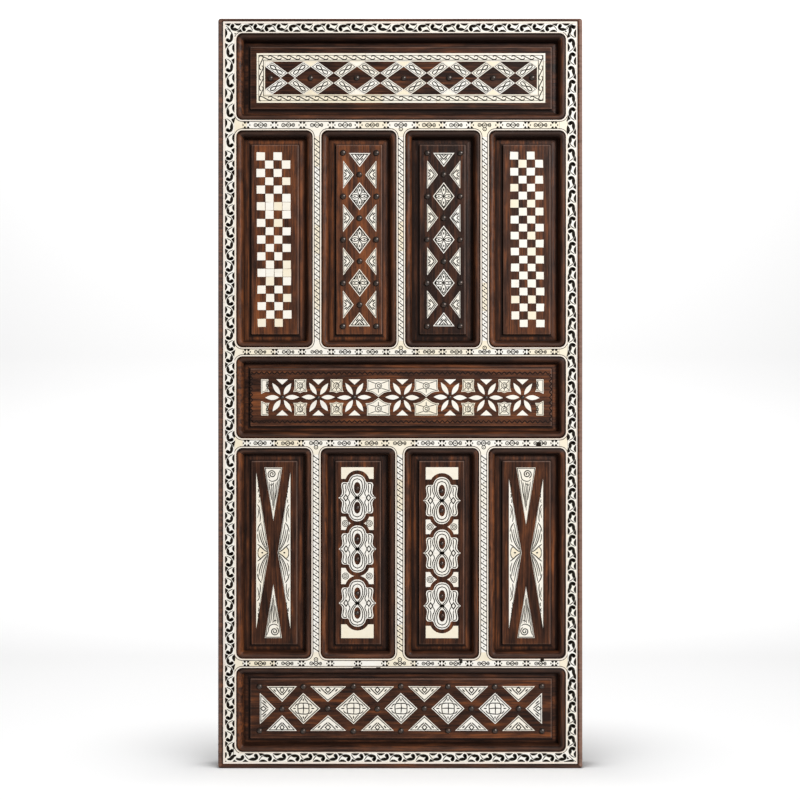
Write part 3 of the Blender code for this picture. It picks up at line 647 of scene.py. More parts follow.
class DOOR_OT_edge_bead(bpy.types.Operator):
    """The round bead along the leaf's four edges"""

    bl_idname = "door.edge_bead"
    bl_label = "Edge bead"

    def execute(self, context):
        """The bead's section is carried round the leaf between its edge and the bone."""
        bench = Bench()
        outer = boxed("edge_bead")
        inner = np.array(grown(BONE, CLEARANCE))
        rings = np.asarray([
            at_depth(rounded(np.array(outer) * (1 - share) + inner * share,
                             LEAF_CORNER * (1 - 0.95 * share), 8), depth * MM)
            for share, depth, _ in BEAD_SECTION])
        x, z = rings[..., 0], rings[..., 1]
        level = (z < outer[1] + 0.013) | (z > outer[3] - 0.009)
        grain = np.stack([np.where(level, x, z + 4.0), np.where(level, z, x), rings[..., 2]], -1)
        # the right length is tinted and highlighted brightest: painted light from the key at the upper
        # right
        bench.skin(rings, tint=by_side(BEAD_SIDE_LIGHT), grain=grain, endless=True,
                   wear=BEAD_SECTION[:, 2:] * by_side(BEAD_RUBBING_AND_HIGHLIGHT))
        bench.piece("bead", "Frame timber", ["edge_bead"], smooth=50)
        return {"FINISHED"}


PANEL_TINTS = {"top": -1.3, "upper_1": 0.4, "upper_2": 0.5, "upper_3": -1.9, "upper_4": -0.4,
               "middle": 0.0, "lower_1": -0.9, "lower_2": -0.9, "lower_3": -0.8,
               "lower_4": -0.4, "bottom": -0.9}
# how far in the field's edge lies, in mm, for level and upright panels
MARGINS = {False: (35.5, 31.8), True: (38.5, 35.0)}
# a panel's tongue, groove and bevel as (in, depth), then its step as (beyond the margin, depth,
# wear of a lit side, wear of a shaded side), in mm. The step's foot is darker on every side; the
# shaded side, the left and the bottom, adds painted shade there, away from the key light at the
# upper right, and the lit side, the right and the top, a painted highlight on the field's edge
PANEL_EDGE = ((0.3, 43.0), (0.3, 37.0), (-6.0, 37.0), (-6.0, 28.0), (0.3, 28.0), (0.3, 19.3))
PANEL_STEP = (
    (-9.5, 17.8, 0.0, 0.0), (-7.6, 17.5, -0.05, -0.9), (-4.6, 17.0, -0.3, -1.2),
    (-2.6, 17.2, -0.9, -1.2), (-1.2, 16.9, -1.0, -1.2), (-0.9, 15.0, -0.5, -1.0),
    (-0.7, 13.2, 0.6, -0.4), (-0.3, 12.4, 1.2, 0.3), (0.4, 12.05, 1.1, 0.5), (1.4, 12.0, 0.3, 0.1),
    (4.0, 12.0, 0.0, 0.0))


def is_upright(name):
    """True for the tall panels, whose grain stands."""
    return name.startswith(("upper", "lower"))


class DOOR_OT_panels(bpy.types.Operator):
    """Fielded panels: a tongue, a rising bevel, a step and a flat field"""

    bl_idname = "door.panels"
    bl_label = "Panels"

    def execute(self, context):
        """Rounded rectangles are drawn in from the tongue to the field, each at its depth."""
        draw = chance(2)
        for name in PANELS:
            bench, rect = Bench(), OPENINGS[name]
            dx, dz = MARGINS[is_upright(name)]
            steps = [(inset, inset, depth, 0.0, 0.0) for inset, depth in PANEL_EDGE]
            steps += [(18.0, 18.0, 19.3, -1.0, -1.0)]
            steps += [(dx + row[0], dz + row[0], *row[1:]) for row in PANEL_STEP]
            rings = [at_depth(rounded(grown(rect, -a * MM, -b * MM, -a * MM, -b * MM),
                                      (1.6 if a > 18 else 0.8) * MM, 4), depth * MM)
                     for a, b, depth, *_ in steps]
            # painted shade lies along the left and the bottom, and fades round two corners; the right
            # and top take the lit side's values, with their painted highlight
            dirt_and_shade = np.concatenate([np.ones(5), np.linspace(1, 0, 5), np.zeros(5), np.linspace(0, 1, 5)])
            lit_side, dirty_and_shaded = np.array(steps)[:, 3:].T[..., None]
            wear = lit_side * (1 - dirt_and_shade) + dirty_and_shaded * dirt_and_shade
            bench.skin(rings, tint=PANEL_TINTS[name], wear=wear,
                       grain=board_grain(rings, is_upright(name), draw.uniform(0, 9, 3)))
            bench.piece(f"board_{name}", "Panel timber", [f"panel_{name}"], smooth=30)
        return {"FINISHED"}


# the moulding's section as (in, depth, wear, radius of its corner), in mm, and the painted light
# and shade of its left, bottom, right and top lengths: palest on the left, whose slope faces the
# key light at the upper right, and darkest on the top, which faces down
MOULDING_SECTION = np.array([
    (0.3, 19.0, 0.0, 16), (0.3, 2.8, -1.0, 16), (0.8, 2.1, -1.0, 16), (1.7, 1.2, -0.5, 15.5),
    (3.2, 0.6, 0.0, 14.6), (5.2, 0.35, 0.22, 13.5), (7.4, 0.5, 0.25, 12), (9.6, 1.1, 0.12, 10.5),
    (11.6, 2.2, 0.0, 9), (13.4, 3.9, -0.1, 7.5), (14.9, 6.2, -0.25, 6), (16.1, 9.0, -0.4, 5),
    (16.9, 12.0, -0.5, 4), (17.4, 15.0, -0.7, 3.2), (17.65, 17.0, -0.9, 2.6),
    (17.7, 19.0, -1.0, 2.2)])
MOULDING_SIDE_LIGHT = np.array([0.6, -0.7, -0.2, -2.4])


class DOOR_OT_mouldings(bpy.types.Operator):
    """Round-nosed mouldings round every opening"""

    bl_idname = "door.mouldings"
    bl_label = "Mouldings"

    def execute(self, context):
        """The moulding's section is carried round a rounded rectangle, drawn in as it falls.

        Each opening has four lengths, mitred halfway round its corners, each with a little tone of its
        own and the painted light and shade of the side it faces.
        """
        draw = chance(3)
        for name in PANELS:
            bench = Bench()
            rings = np.asarray([
                at_depth(rounded(grown(OPENINGS[name], -inset * MM), radius * MM, 8), depth * MM)
                for inset, depth, _, radius in MOULDING_SECTION])
            path = rings[0]
            step = np.hypot(*(np.roll(path, -1, axis=0) - path)[:, :2].T)
            run = np.concatenate([[0.0], np.cumsum(step)[:-1]])
            across = np.linspace(0, 30 * MM, len(MOULDING_SECTION))[:, None]
            grain = np.stack(np.broadcast_arrays(run[None, :], across, rings[..., 2]), -1)
            grain = grain + draw.uniform(0, 9, 3)
            # each length's tint is painted light and shade for the side it faces, with a little random
            # tone
            bench.skin(rings, tint=by_side(MOULDING_SIDE_LIGHT + draw.uniform(-0.2, 0.2, 4)),
                       wear=MOULDING_SECTION[:, 2:3], grain=grain, endless=True)
            bench.piece(f"moulded_{name}", "Frame timber", [f"moulding_{name}"], smooth=60)
        return {"FINISHED"}


# ---------------------------------------------------------------- bone facing
PLATE_TOP = 0.25 * MM
LINE_TOP = 0.12 * MM
INK_TOP = 0.19 * MM
RAILS = [boxed(f"cross_rail_{i}") for i in range(1, 5)]
MUNTINS = {f"{row}_{i}": boxed(f"{row}_muntin_{i}") for row in ("upper", "lower") for i in (1, 2, 3)}
# from a muntin's centre line to the cross marks beside it, and between a muntin's bars
MARK_REACH, BAR_PITCH = 38.5 * MM, 14.9 * MM
# how long the plates of the outer line, the border's band and the muntins are
LINE_LENGTH, BAND_LENGTH, MUNTIN_LENGTH = 0.24, 0.085, 0.075
SIDES = ("left", "bottom", "right", "top")
LINE_WIDTHS = {"left": 5.2 * MM, "right": 5.4 * MM, "top": 3.8 * MM, "bottom": 3.6 * MM}


def ring_widths(name):
    """How wide the bone line is at an opening's left, bottom, right and top."""
    plain = bpy.context.scene.door_facing.rail_line
    left = LINE_WIDTHS["left"] if OPENINGS[name][0] < INNER[0] + MM else plain
    right = LINE_WIDTHS["right"] if OPENINGS[name][2] > INNER[2] - MM else plain
    top = LINE_WIDTHS["top"] if name == "top" else plain
    bottom = LINE_WIDTHS["bottom"] if name == "bottom" else plain
    return left, bottom, right, top


def plate_tone(draw, yellow=0.12):
    """A plate's tone: most are pale, a few clearly yellow."""
    tone = draw.uniform(0.0, 0.22)
    return float(tone + 0.5 * (draw.random() < yellow))


def lay_plate(bench, draw, corners, upright, tint=None, top=PLATE_TOP):
    """One plate of the facing, with its bone's grain along it."""
    offset = draw.uniform(0, 5)
    bench.tile(corners, top, bpy.context.scene.door_facing.bone_thickness,
               tint=plate_tone(draw) if tint is None else tint,
               grain=lambda rings: board_grain(rings, upright, (offset, 0, 0)),
               wear=-0.6 if top == LINE_TOP else 0.0)


def band_plates(bench, draw, rect, upright, slant, cuts, top=PLATE_TOP, yellow=0.12):
    """Plates laid end to end along a band, with hairline joints at the cuts.

    slant is how much further the lower or left side runs than the other at the two ends.
    """
    gap = bpy.context.scene.door_facing.joint / 2
    low, high = (rect[0], rect[2]) if upright else (rect[1], rect[3])
    first, last = 0, len(cuts) - 2
    for i, (a, b) in enumerate(zip(cuts, cuts[1:])):
        a, b = a + gap * (i > first), b - gap * (i < last)
        before, after = slant[0] * (i == first), slant[1] * (i == last)
        corners = np.array([(a - max(before, 0), low), (b + max(after, 0), low),
                            (b + max(-after, 0), high), (a - max(-before, 0), high)])
        if upright:
            corners = corners[::-1, ::-1]
        lay_plate(bench, draw, corners, upright, plate_tone(draw, yellow), top)


def even_cuts(draw, start, end, length, sway=0.12):
    """Places to cut a band into plates of about one length."""
    count = max(1, round((end - start) / length))
    cuts = np.linspace(start, end, count + 1)
    cuts[1:-1] += draw.uniform(-sway, sway, count - 1) * length
    return cuts


def mitred(side, outer, inner):
    """The short rectangle of a mitred strip, and how much further its outer side runs."""
    rect = {"left": (outer[0], inner[1], inner[0], inner[3]),
            "right": (inner[2], inner[1], outer[2], inner[3]),
            "top": (inner[0], inner[3], inner[2], outer[3]),
            "bottom": (inner[0], outer[1], inner[2], inner[1])}[side]
    along = 1 if side in ("left", "right") else 0
    outwards = 1 if side in ("left", "bottom") else -1
    return rect, (outwards * (inner[along] - outer[along]),
                  outwards * (outer[along + 2] - inner[along + 2]))


def scroll_edges():
    """The rectangles outside and inside the border's scroll."""
    line = bpy.context.scene.door_facing.outer_line
    return (grown(BONE, -line, -line, -0.62 * line, -line),
            grown(INNER, *(LINE_WIDTHS[side] for side in SIDES)))


class DOOR_OT_border_plates(bpy.types.Operator):
    """The border's plates, its outer bone line and the line round each opening"""

    bl_idname = "door.border_plates"
    bl_label = "Border plates and lines"

    def execute(self, context):
        """Mitred strips are laid along each side, and rings of rounded rectangles round openings."""
        facing = context.scene.door_facing
        bench, draw = Bench(), chance(4)
        outer, inner = scroll_edges()
        for side in ("left", "right", "top", "bottom"):
            upright = side in ("left", "right")
            gaps = [facing.joint if name == side else 0.0 for name in SIDES]
            scroll = grown(outer, *(-gap for gap in gaps))
            for beyond, within, length, top in ((BONE, outer, LINE_LENGTH, LINE_TOP),
                                                (scroll, inner, BAND_LENGTH, PLATE_TOP)):
                rect, slant = mitred(side, beyond, within)
                start, end = (rect[1], rect[3]) if upright else (rect[0], rect[2])
                band_plates(bench, draw, rect, upright, slant, even_cuts(draw, start, end, length),
                            top, yellow=0.0)
        bench.piece("border_plates", "Engraved bone", ["bone_border"])

        bench, draw = Bench(), chance(5)
        for name, rect in OPENINGS.items():
            widths = ring_widths(name)
            plain = facing.rail_line
            steps = [(1.1, 2.6), (1.1, 0.3), (1.35, LINE_TOP / MM), (-0.25, LINE_TOP / MM),
                     (0.0, 0.3), (0.0, 2.6)]
            rings = []
            for number, (ease, depth) in enumerate(steps):
                share = 0.0 if number < 3 else 1.0
                sides = [width * share + ease * MM for width in widths]
                rings.append(at_depth(rounded(grown(rect, *sides), FILLET + plain * share + ease * MM,
                                              8), depth * MM))
            bench.skin(rings, tint=draw.uniform(0.15, 0.35), endless=True,
                       wear=[[-1.0], [-0.8], [-0.45], [-0.45], [-0.8], [-1.0]])
        for i, (x, z) in enumerate(((0, 1), (2, 1), (2, 3), (0, 3))):
            corner = np.array([inner[x], inner[z]])
            radius = FILLET + facing.rail_line + facing.joint
            outline = rounded(inner, radius, 6).reshape(4, -1, 2)[i]
            lay_plate(bench, draw, np.vstack([outline[::-1], corner]), False, 0.2)
        bench.piece("bone_lines", "Engraved bone")
        return {"FINISHED"}


# ---------------------------------------------------------------- engraving
def placed(points, origin, angle=0.0, scale=(1.0, 1.0)):
    """Points scaled, turned anticlockwise by angle in degrees and moved to the origin."""
    turn = math.radians(angle)
    matrix = np.array([[math.cos(turn), math.sin(turn)], [-math.sin(turn), math.cos(turn)]])
    return (np.asarray(points, float) * scale) @ matrix + origin


def stroke(bench, points, half_width, top=INK_TOP, per_span=3, taper=0.35, curved=True):
    """An engraved line whose width swells as taper + (1 - taper) sin(pi t)."""
    path = spline(points, per_span) if curved and len(points) > 2 else np.asarray(points, float)
    if len(path) == 2:
        path = np.linspace(path[0], path[1], 4)
    t = np.linspace(0, 1, len(path))
    bench.cut(path, half_width * (taper + (1 - taper) * np.sin(np.pi * t) ** 0.6), top)


def closed_stroke(bench, outline, half_width, top=INK_TOP):
    """An engraved line round an outline, mitred at its corners."""
    outer, inner = drawn_in(outline, -half_width), drawn_in(outline, half_width)
    bench.skin([at_depth(outer, top), at_depth(inner, top), at_depth(outline, top + 0.5 * MM)],
               endless=True)


def ring_stroke(bench, centre, radius, half_width, top=INK_TOP, sides=14, squeeze=(1.0, 1.0)):
    """An engraved circle or oval."""
    rim = arc((0, 0), radius, 0, 360 - 360 / sides, sides - 1) * squeeze + centre
    closed_stroke(bench, rim, half_width, top)


# One half wave of the running scroll. u runs from 0 to 1 along it, v from -1 to 1 across the
# band with the bulge at +1, and the last number is the half width of the black cut.
HOOK = ((0.24, 0.40, 0.07), (0.32, 0.44, 0.20), (0.43, 0.42, 0.33), (0.54, 0.39, 0.38),
        (0.66, 0.38, 0.33), (0.765, 0.22, 0.33), (0.81, -0.04, 0.34), (0.805, -0.30, 0.34),
        (0.76, -0.50, 0.28))
BALL = (0.74, -0.46, 0.44)
SLIVER = ((-0.02, -0.99, 0.08), (0.09, -0.90, 0.28), (0.21, -0.84, 0.38), (0.34, -0.85, 0.37),
          (0.47, -0.93, 0.24), (0.58, -1.0, 0.08))
SPANDREL = ((1.05, -0.34, 0.05), (1.08, -0.62, 0.34), (1.12, -1.06, 0.84))
TAIL = ((-0.04, -0.70, 0.05), (0.03, -0.34, 0.09), (0.12, 0.06, 0.10), (0.24, 0.40, 0.08))
SCROLLS = {"left": (43.3 * MM, 0, 0.92, ((8, 39.6), (2, 26.9), (24, 29.9), (2, 34.7), (26, 28.9))),
           "right": (41.1 * MM, 0, 1.08, ((7, 29.8), (2, 35.6), (21, 31.0), (15, 33.4),
                                          (14, 36.3))),
           "top": (47.4 * MM, 0, 1.03, ((13, 33.6), (2, 37.2), (4, 33.7), (4, 32.4), (4, 30.2))),
           "bottom": (86.6 * MM, 1, 1.04, ((3, 36.9), (8, 33.8), (4, 34.9), (10, 32.9)))}
# extra cuts at the corners: (inwards, down or up, half width) from the scroll's corner, in mm
CORNERS = {
    ("left", "top"): (((3.4, 6.6, 0.8), (9.2, 13.2, 1.4), (13.9, 21.0, 2.2)),
                      ((25.4, 26.0, 1.0), (26.6, 27.6, 1.5), (28.4, 26.2, 1.0))),
    ("right", "top"): (((27.7, 18.6, 0.5), (26.9, 22.8, 3.0)),
                       ((29.0, 14.8, 0.7), (18.5, 5.5, 0.9), (9.2, 1.6, 0.7)),
                       ((11.9, 5.0, 0.6), (5.5, 5.8, 0.9), (0.8, 7.1, 1.5))),
    ("left", "bottom"): (((1.6, 25.0, 2.2), (1.8, 18.0, 3.4), (1.2, 10.0, 0.8)),
                         ((13.0, 25.2, 4.6), (12.9, 21.0, 4.2), (12.4, 13.5, 1.6)),
                         ((5.8, 7.1, 1.8), (13.2, 7.1, 4.0), (19.0, 11.9, 4.6), (23.0, 15.6, 3.6),
                          (29.3, 17.2, 2.0)),
                         ((29.0, 9.2, 2.6), (34.1, 6.9, 3.4), (40.4, 6.3, 3.8), (45.2, 8.7, 4.4),
                          (46.3, 12.7, 4.8), (44.0, 16.4, 3.2)),
                         ((23.8, 5.2, 0.8), (25.0, -0.6, 6.8)), ((53.3, 6.0, 0.8), (53.5, -0.6, 9.0)),
                         ((3.4, 2.6, 0.8), (0.8, 0.3, 2.6)), ((22.6, 36.0, 0.7), (22.6, 19.0, 0.7))),
    ("right", "bottom"): (((18.5, 14.8, 0.6), (9.2, 6.3, 1.1), (0.8, 0.3, 0.8)),
                          ((22.5, 13.2, 0.5), (21.6, 7.0, 3.4)),
                          ((32.2, 0.3, 0.8), (24.0, 0.8, 2.6), (14.0, 1.6, 4.4), (9.5, 1.4, 4.0),
                           (6.0, 0.3, 0.8)))}


class DOOR_OT_border_scroll(bpy.types.Operator):
    """The running scroll of hooked leaves round the border, in black mastic"""

    bl_idname = "door.border_scroll"
    bl_label = "Border scroll"

    def execute(self, context):
        """Each half wave's cuts are given by u along it and v across the band.

        The place is start + (sum of pitches + (u - 0.4) pitch) along the band and
        middle + v half width across it, where v changes side from one half wave to the next.
        """
        bench, draw = Bench(), chance(6)
        for side, (start, first, weight, runs) in SCROLLS.items():
            band = mitred(side, *scroll_edges())[0]
            upright = side in ("left", "right")
            low, high = (band[0], band[2]) if upright else (band[1], band[3])
            origin = {"left": LEAF_HEIGHT - start, "right": start, "top": LEAF_WIDTH / 2 - start,
                      "bottom": start - LEAF_WIDTH / 2}[side]
            heading = -1 if side in ("left", "top") else 1
            inwards = 1 if side in ("left", "bottom") else -1
            half = (high - low) / 2
            run, number = 0.0, first
            last = first + sum(count for count, _ in runs) - 1
            for count, pitch in runs:
                for _ in range(count):
                    bulge = inwards * (1 if number % 2 == 0 else -1)
                    step = pitch * MM * draw.uniform(0.97, 1.03)
                    for shape in (HOOK, SLIVER, SPANDREL, TAIL, (BALL,)):
                        if shape == SPANDREL and number == last and side != "top":
                            continue
                        rows = spline(shape, 2) if shape == HOOK else np.array(shape)
                        u = (rows[:, 0] - 0.4) * step + run
                        v = rows[:, 1] * half * bulge
                        path = np.stack([origin + heading * u, (low + high) / 2 + v], -1)
                        path = path[:, ::-1] if upright else path
                        if len(rows) == 1:
                            bench.dot(path[0], BALL[2] * half * weight, INK_TOP)
                        else:
                            bench.cut(path, rows[:, 2] * half * weight, INK_TOP)
                    run += pitch * MM
                    number += 1
        outer = scroll_edges()[0]
        for (side, level), corner_cuts in CORNERS.items():
            corner = np.array([outer[0 if side == "left" else 2], outer[1 if level == "bottom" else 3]])
            inwards = np.array([1 if side == "left" else -1, 1 if level == "bottom" else -1])
            for rows in corner_cuts:
                rows = spline(np.array(rows) * MM, 2)
                bench.cut(corner + rows[:, :2] * inwards, rows[:, 2], INK_TOP)
        bench.piece("border_scroll", "Black mastic")
        return {"FINISHED"}


def cross_marks(bench, centre, height):
    """Four black teeth round a pale star, with a small pip at either side."""
    for side in (-1, 1):
        for step in (-1, 1):
            at = (4.3 * MM * step, side * height / 2)
            tooth = np.array([(at[0] - 0.6 * MM * step, at[1] - side * 5.9 * MM, 0.6 * MM),
                              (at[0], at[1] - side * 2.9 * MM, 2.8 * MM),
                              (at[0], at[1], 4.0 * MM)])
            bench.cut(tooth[:, :2] + centre, tooth[:, 2], INK_TOP)
        bench.dot(np.array(centre) + (side * 9.0 * MM, 0.0), 2.1 * MM, INK_TOP, 6, (0.85, 1.25))


def rosette_row(bench, centre, draw, scale=1.0, pendant=0.0):
    """A ring between two smaller ones. pendant hangs one more ring towards a muntin."""
    centre = np.array(centre)
    for place, radius, squeeze in ((-13.2, 4.3, (1, 1)), (0, 6.0, (1, 1)), (13.0, 3.9, (0.8, 1.1))):
        at = centre + (place * MM * scale + draw.uniform(-0.6, 0.6) * MM, draw.uniform(-0.4, 0.4) * MM)
        size = radius * MM * scale * draw.uniform(0.92, 1.06)
        ring_stroke(bench, at, size, 1.05 * MM, squeeze=squeeze)
        bench.dot(at, (1.7 if place else 2.2) * MM * scale, INK_TOP, 6)
        if place == 0:
            for turn in (25, 155, 205, 335):
                petal = placed([(0.45, 0.0), (0.72, 0.10), (0.95, 0.0)], at, turn, (size, size))
                stroke(bench, petal, 0.8 * MM)
    for side in (-1, 1):
        bow = [(side * 6.6 * MM, 2.4 * MM), (side * 8.2 * MM, 0.2 * MM), (side * 6.8 * MM, -2.6 * MM)]
        stroke(bench, np.array(bow) * scale + centre, 1.0 * MM)
    if pendant:
        at = centre + (0.0, pendant * 10.5 * MM)
        ring_stroke(bench, at, 4.8 * MM, 1.05 * MM)
        bench.dot(at, 1.6 * MM, INK_TOP, 6)


def muntin_lines(rail):
    """The centre lines of the three muntins that meet a rail."""
    row = "upper" if rail < 2 else "lower"
    return [middle(MUNTINS[f"{row}_{i}"])[0] for i in (1, 2, 3)]


def rail_marks(rail):
    """Where the cross marks stand along a rail: beside each muntin and halfway between them."""
    start, end = INNER[0] + 27.0 * MM, INNER[2] - 29.0 * MM
    beside = [line + side * MARK_REACH for line in muntin_lines(rail) for side in (-1, 1)]
    marks = [start, (start + beside[0]) / 2, *beside, (beside[-1] + end) / 2, end]
    marks += [(beside[1] + beside[2]) / 2, (beside[3] + beside[4]) / 2]
    return sorted(marks)


# the bays without a rosette, as (rail, bay)
PLAIN_BAYS = ((3, 3), (3, 4))
# spots where bone has fallen out of the two lower rails, as (x, z, width, height) in mm
LOST_BONE = [(365.3, 856.0, 13.0, 11.5), (160.6, 283.0, 7.5, 11.0), (156.5, 286.5, 5.0, 5.0),
             (374.8, 285.6, 9.5, 8.0), (-114.0, 265.6, 20.0, 3.4), (-58.0, 265.6, 12.0, 3.0)]


class DOOR_OT_rail_facing(bpy.types.Operator):
    """Bone plates over the rails, engraved with stars and rosettes"""

    bl_idname = "door.rail_facing"
    bl_label = "Rail facing"

    def execute(self, context):
        """Rectangles run between the lines, and flared end plates meet the border in arcs."""
        facing = context.scene.door_facing
        inset = facing.rail_line + facing.groove * 0.8
        reach = FILLET + inset
        plates, ink, draw = Bench(), Bench(), chance(7)
        for number, rail in enumerate(RAILS):
            low, high = rail[1] + inset, rail[3] - inset
            marks = rail_marks(number)
            left, right = INNER[0] + FILLET, INNER[2] - FILLET
            cuts = [left, *(mark + draw.uniform(-0.5, 2.5) * MM for mark in marks[:-1]), right]
            band_plates(plates, draw, (left, low, right, high), False, (0.0, 0.0), cuts, yellow=0.3)
            for side, x, border in ((1, left, LINE_WIDTHS["left"]), (-1, right, LINE_WIDTHS["right"])):
                lower = arc((x, low - reach), reach, 90, 90 + 72 * side, 6)
                upper = arc((x, high + reach), reach, -90 - 72 * side, -90, 6)
                edge = x - side * (FILLET + border - facing.joint)
                outline = np.vstack([lower, upper])
                outline[:, 0] = (np.maximum if side > 0 else np.minimum)(outline[:, 0], edge)
                outline[:, 0] -= side * facing.joint
                lay_plate(plates, draw, outline[::-side], False, draw.uniform(0.45, 0.8))
            for mark in marks:
                cross_marks(ink, (mark + draw.uniform(-0.8, 0.8) * MM, (low + high) / 2), high - low)
            size = min(1.0, (high - low) / (15.5 * MM))
            for bay, (a, b) in enumerate(zip(marks, marks[1:])):
                at = ((a + b) / 2, (low + high) / 2)
                hangs = min(abs(at[0] - line) for line in muntin_lines(number)) < 6 * MM
                pendant = (-1 if number in (0, 2) else 1) if hangs and draw.random() < 0.75 else 0
                if (number, bay) not in PLAIN_BAYS:
                    rosette_row(ink, at, draw, size, pendant)
        for x, z, width, height in LOST_BONE:
            gap = (x - width / 2, z - height / 2, x + width / 2, z + height / 2)
            ink.tile(rounded(gap, 1.2, 2) * MM, 0.05 * MM, 0.6 * MM, 0.02 * MM)
        plates.piece("rail_plates", "Engraved bone", [f"bone_rail_{i}" for i in range(1, 5)])
        ink.piece("rail_engraving", "Black mastic")
        return {"FINISHED"}


class DOOR_OT_muntin_facing(bpy.types.Operator):
    """Bone plates over the muntins, engraved with slanting bars and pips"""

    bl_idname = "door.muntin_facing"
    bl_label = "Muntin facing"

    def execute(self, context):
        """Bars fall by 10 mm across the strip at an even pitch, with a pip in each cell."""
        facing = context.scene.door_facing
        inset = facing.rail_line + facing.groove * 0.8
        reach = FILLET + inset
        plates, ink, draw = Bench(), Bench(), chance(8)
        for name, box in MUNTINS.items():
            opening = OPENINGS[name[:5] + "_1"]
            foot, head = opening[1] + FILLET, opening[3] - FILLET
            left, right = box[0] + inset, box[2] - inset
            line, half = (left + right) / 2, (right - left) / 2
            band_plates(plates, draw, (left, foot, right, head), True, (0.0, 0.0),
                        even_cuts(draw, foot, head, MUNTIN_LENGTH), yellow=0.2)
            for side, z in ((1, head), (-1, foot)):
                west = arc((left - reach, z), reach, 0, 90 * side, 6)
                east = arc((right + reach, z), reach, 180 - 90 * side, 180, 6)
                outline = np.vstack([west, east]) + (0, side * facing.joint / 2)
                lay_plate(plates, draw, outline[::-side], False, draw.uniform(0.25, 0.75))
            count = int((head - foot - 10 * MM) / BAR_PITCH)
            start = (foot + head - count * BAR_PITCH) / 2
            bar = np.array([(-half, 5.0 * MM), (-half * 0.6, 3.1 * MM), (0, 0), (half * 0.6, -3.1 * MM),
                            (half, -5.0 * MM)])
            for i in range(count + 1):
                place = np.array([line, start + i * BAR_PITCH + draw.uniform(-0.5, 0.5) * MM])
                ink.cut(bar + place, np.array([2.0, 1.2, 1.1, 1.2, 2.0]) * MM, INK_TOP)
                if i < count:
                    place += (draw.uniform(-0.6, 0.6) * MM, BAR_PITCH / 2)
                    ink.dot(place, 2.2 * MM, INK_TOP, 6, (1.0, 0.8))
        plates.piece("muntin_plates", "Engraved bone",
                     [f"bone_{row}_muntin_{i}" for row in ("upper", "lower") for i in (1, 2, 3)])
        ink.piece("muntin_engraving", "Black mastic")
        return {"FINISHED"}


class DOOR_OT_dark_lines(bpy.types.Operator):
    """Black lines between the bone round the openings and the plates of rails and muntins"""

    bl_idname = "door.dark_lines"
    bl_label = "Dark lines"

    def execute(self, context):
        """Each line follows its opening's rounded rectangle, and stops where the border begins."""
        facing = context.scene.door_facing
        bench = Bench()
        half = facing.groove / 2
        limits = grown(scroll_edges()[1], -0.3 * MM)
        for name, rect in OPENINGS.items():
            sides = [width + half * 0.8 for width in ring_widths(name)]
            path = rounded(grown(rect, *sides), FILLET + facing.rail_line + half, 8)
            path = np.vstack([path, path[:1]])
            steps = [np.linspace(a, b, 5, endpoint=False) if np.hypot(*(b - a)) > 0.05 else a[None]
                     for a, b in zip(path, path[1:])]
            path = np.vstack(steps)
            inside = ((path[:, 0] > limits[0]) & (path[:, 0] < limits[2])
                      & (path[:, 1] > limits[1]) & (path[:, 1] < limits[3]))
            if inside.all():
                closed_stroke(bench, path, half)
                continue
            path = np.roll(path, -int(np.argmin(inside)), axis=0)
            inside = np.roll(inside, -int(np.argmin(inside)))
            edges = np.flatnonzero(np.diff(inside.astype(int)))
            for start, end in zip(edges[::2], [*edges[1::2], len(path) - 1]):
                if end - start > 2:
                    bench.cut(path[start + 1:end + 1], half, INK_TOP)
        bench.piece("dark_lines", "Black mastic")
        return {"FINISHED"}


# ---------------------------------------------------------------- inlays
TILE_TOP = FIELD_DEPTH - CLEARANCE
TILE_THICKNESS = 0.8 * MM
TILE_INK = TILE_TOP - 0.06 * MM
# an engraved line's width over the width it is drawn with
INK_SPREAD = 1.28
# how far an inlay stands to the right of its panel's middle, in mm
INLAY_SHIFTS = {"upper_1": -2.7, "upper_2": 1.4, "upper_3": 3.0, "upper_4": 1.1,
                "lower_1": -2.7, "lower_2": -2.0, "lower_3": 1.0, "lower_4": -1.3}


def inlay_centre(name):
    """Where a panel's inlay is centred."""
    return middle(OPENINGS[name]) + (INLAY_SHIFTS.get(name, 0.0) * MM, 0.0)


def drifted(points, amount, centre, spread):
    """Points pushed sideways by amount exp(-((x - centre) / spread)^2)."""
    points = np.array(points, float)
    points[..., 0] += amount * np.exp(-((points[..., 0] - centre) / spread) ** 2)
    return points


def lay_tile(bench, outline, tint, upright=False):
    """One tile of bone let into a panel's field."""
    bench.tile(drawn_in(outline, 0.12 * MM), TILE_TOP, TILE_THICKNESS, 0.25 * MM, tint,
               lambda rings: board_grain(rings, upright, (float(outline[0][0]) * 7, 0, 0)))


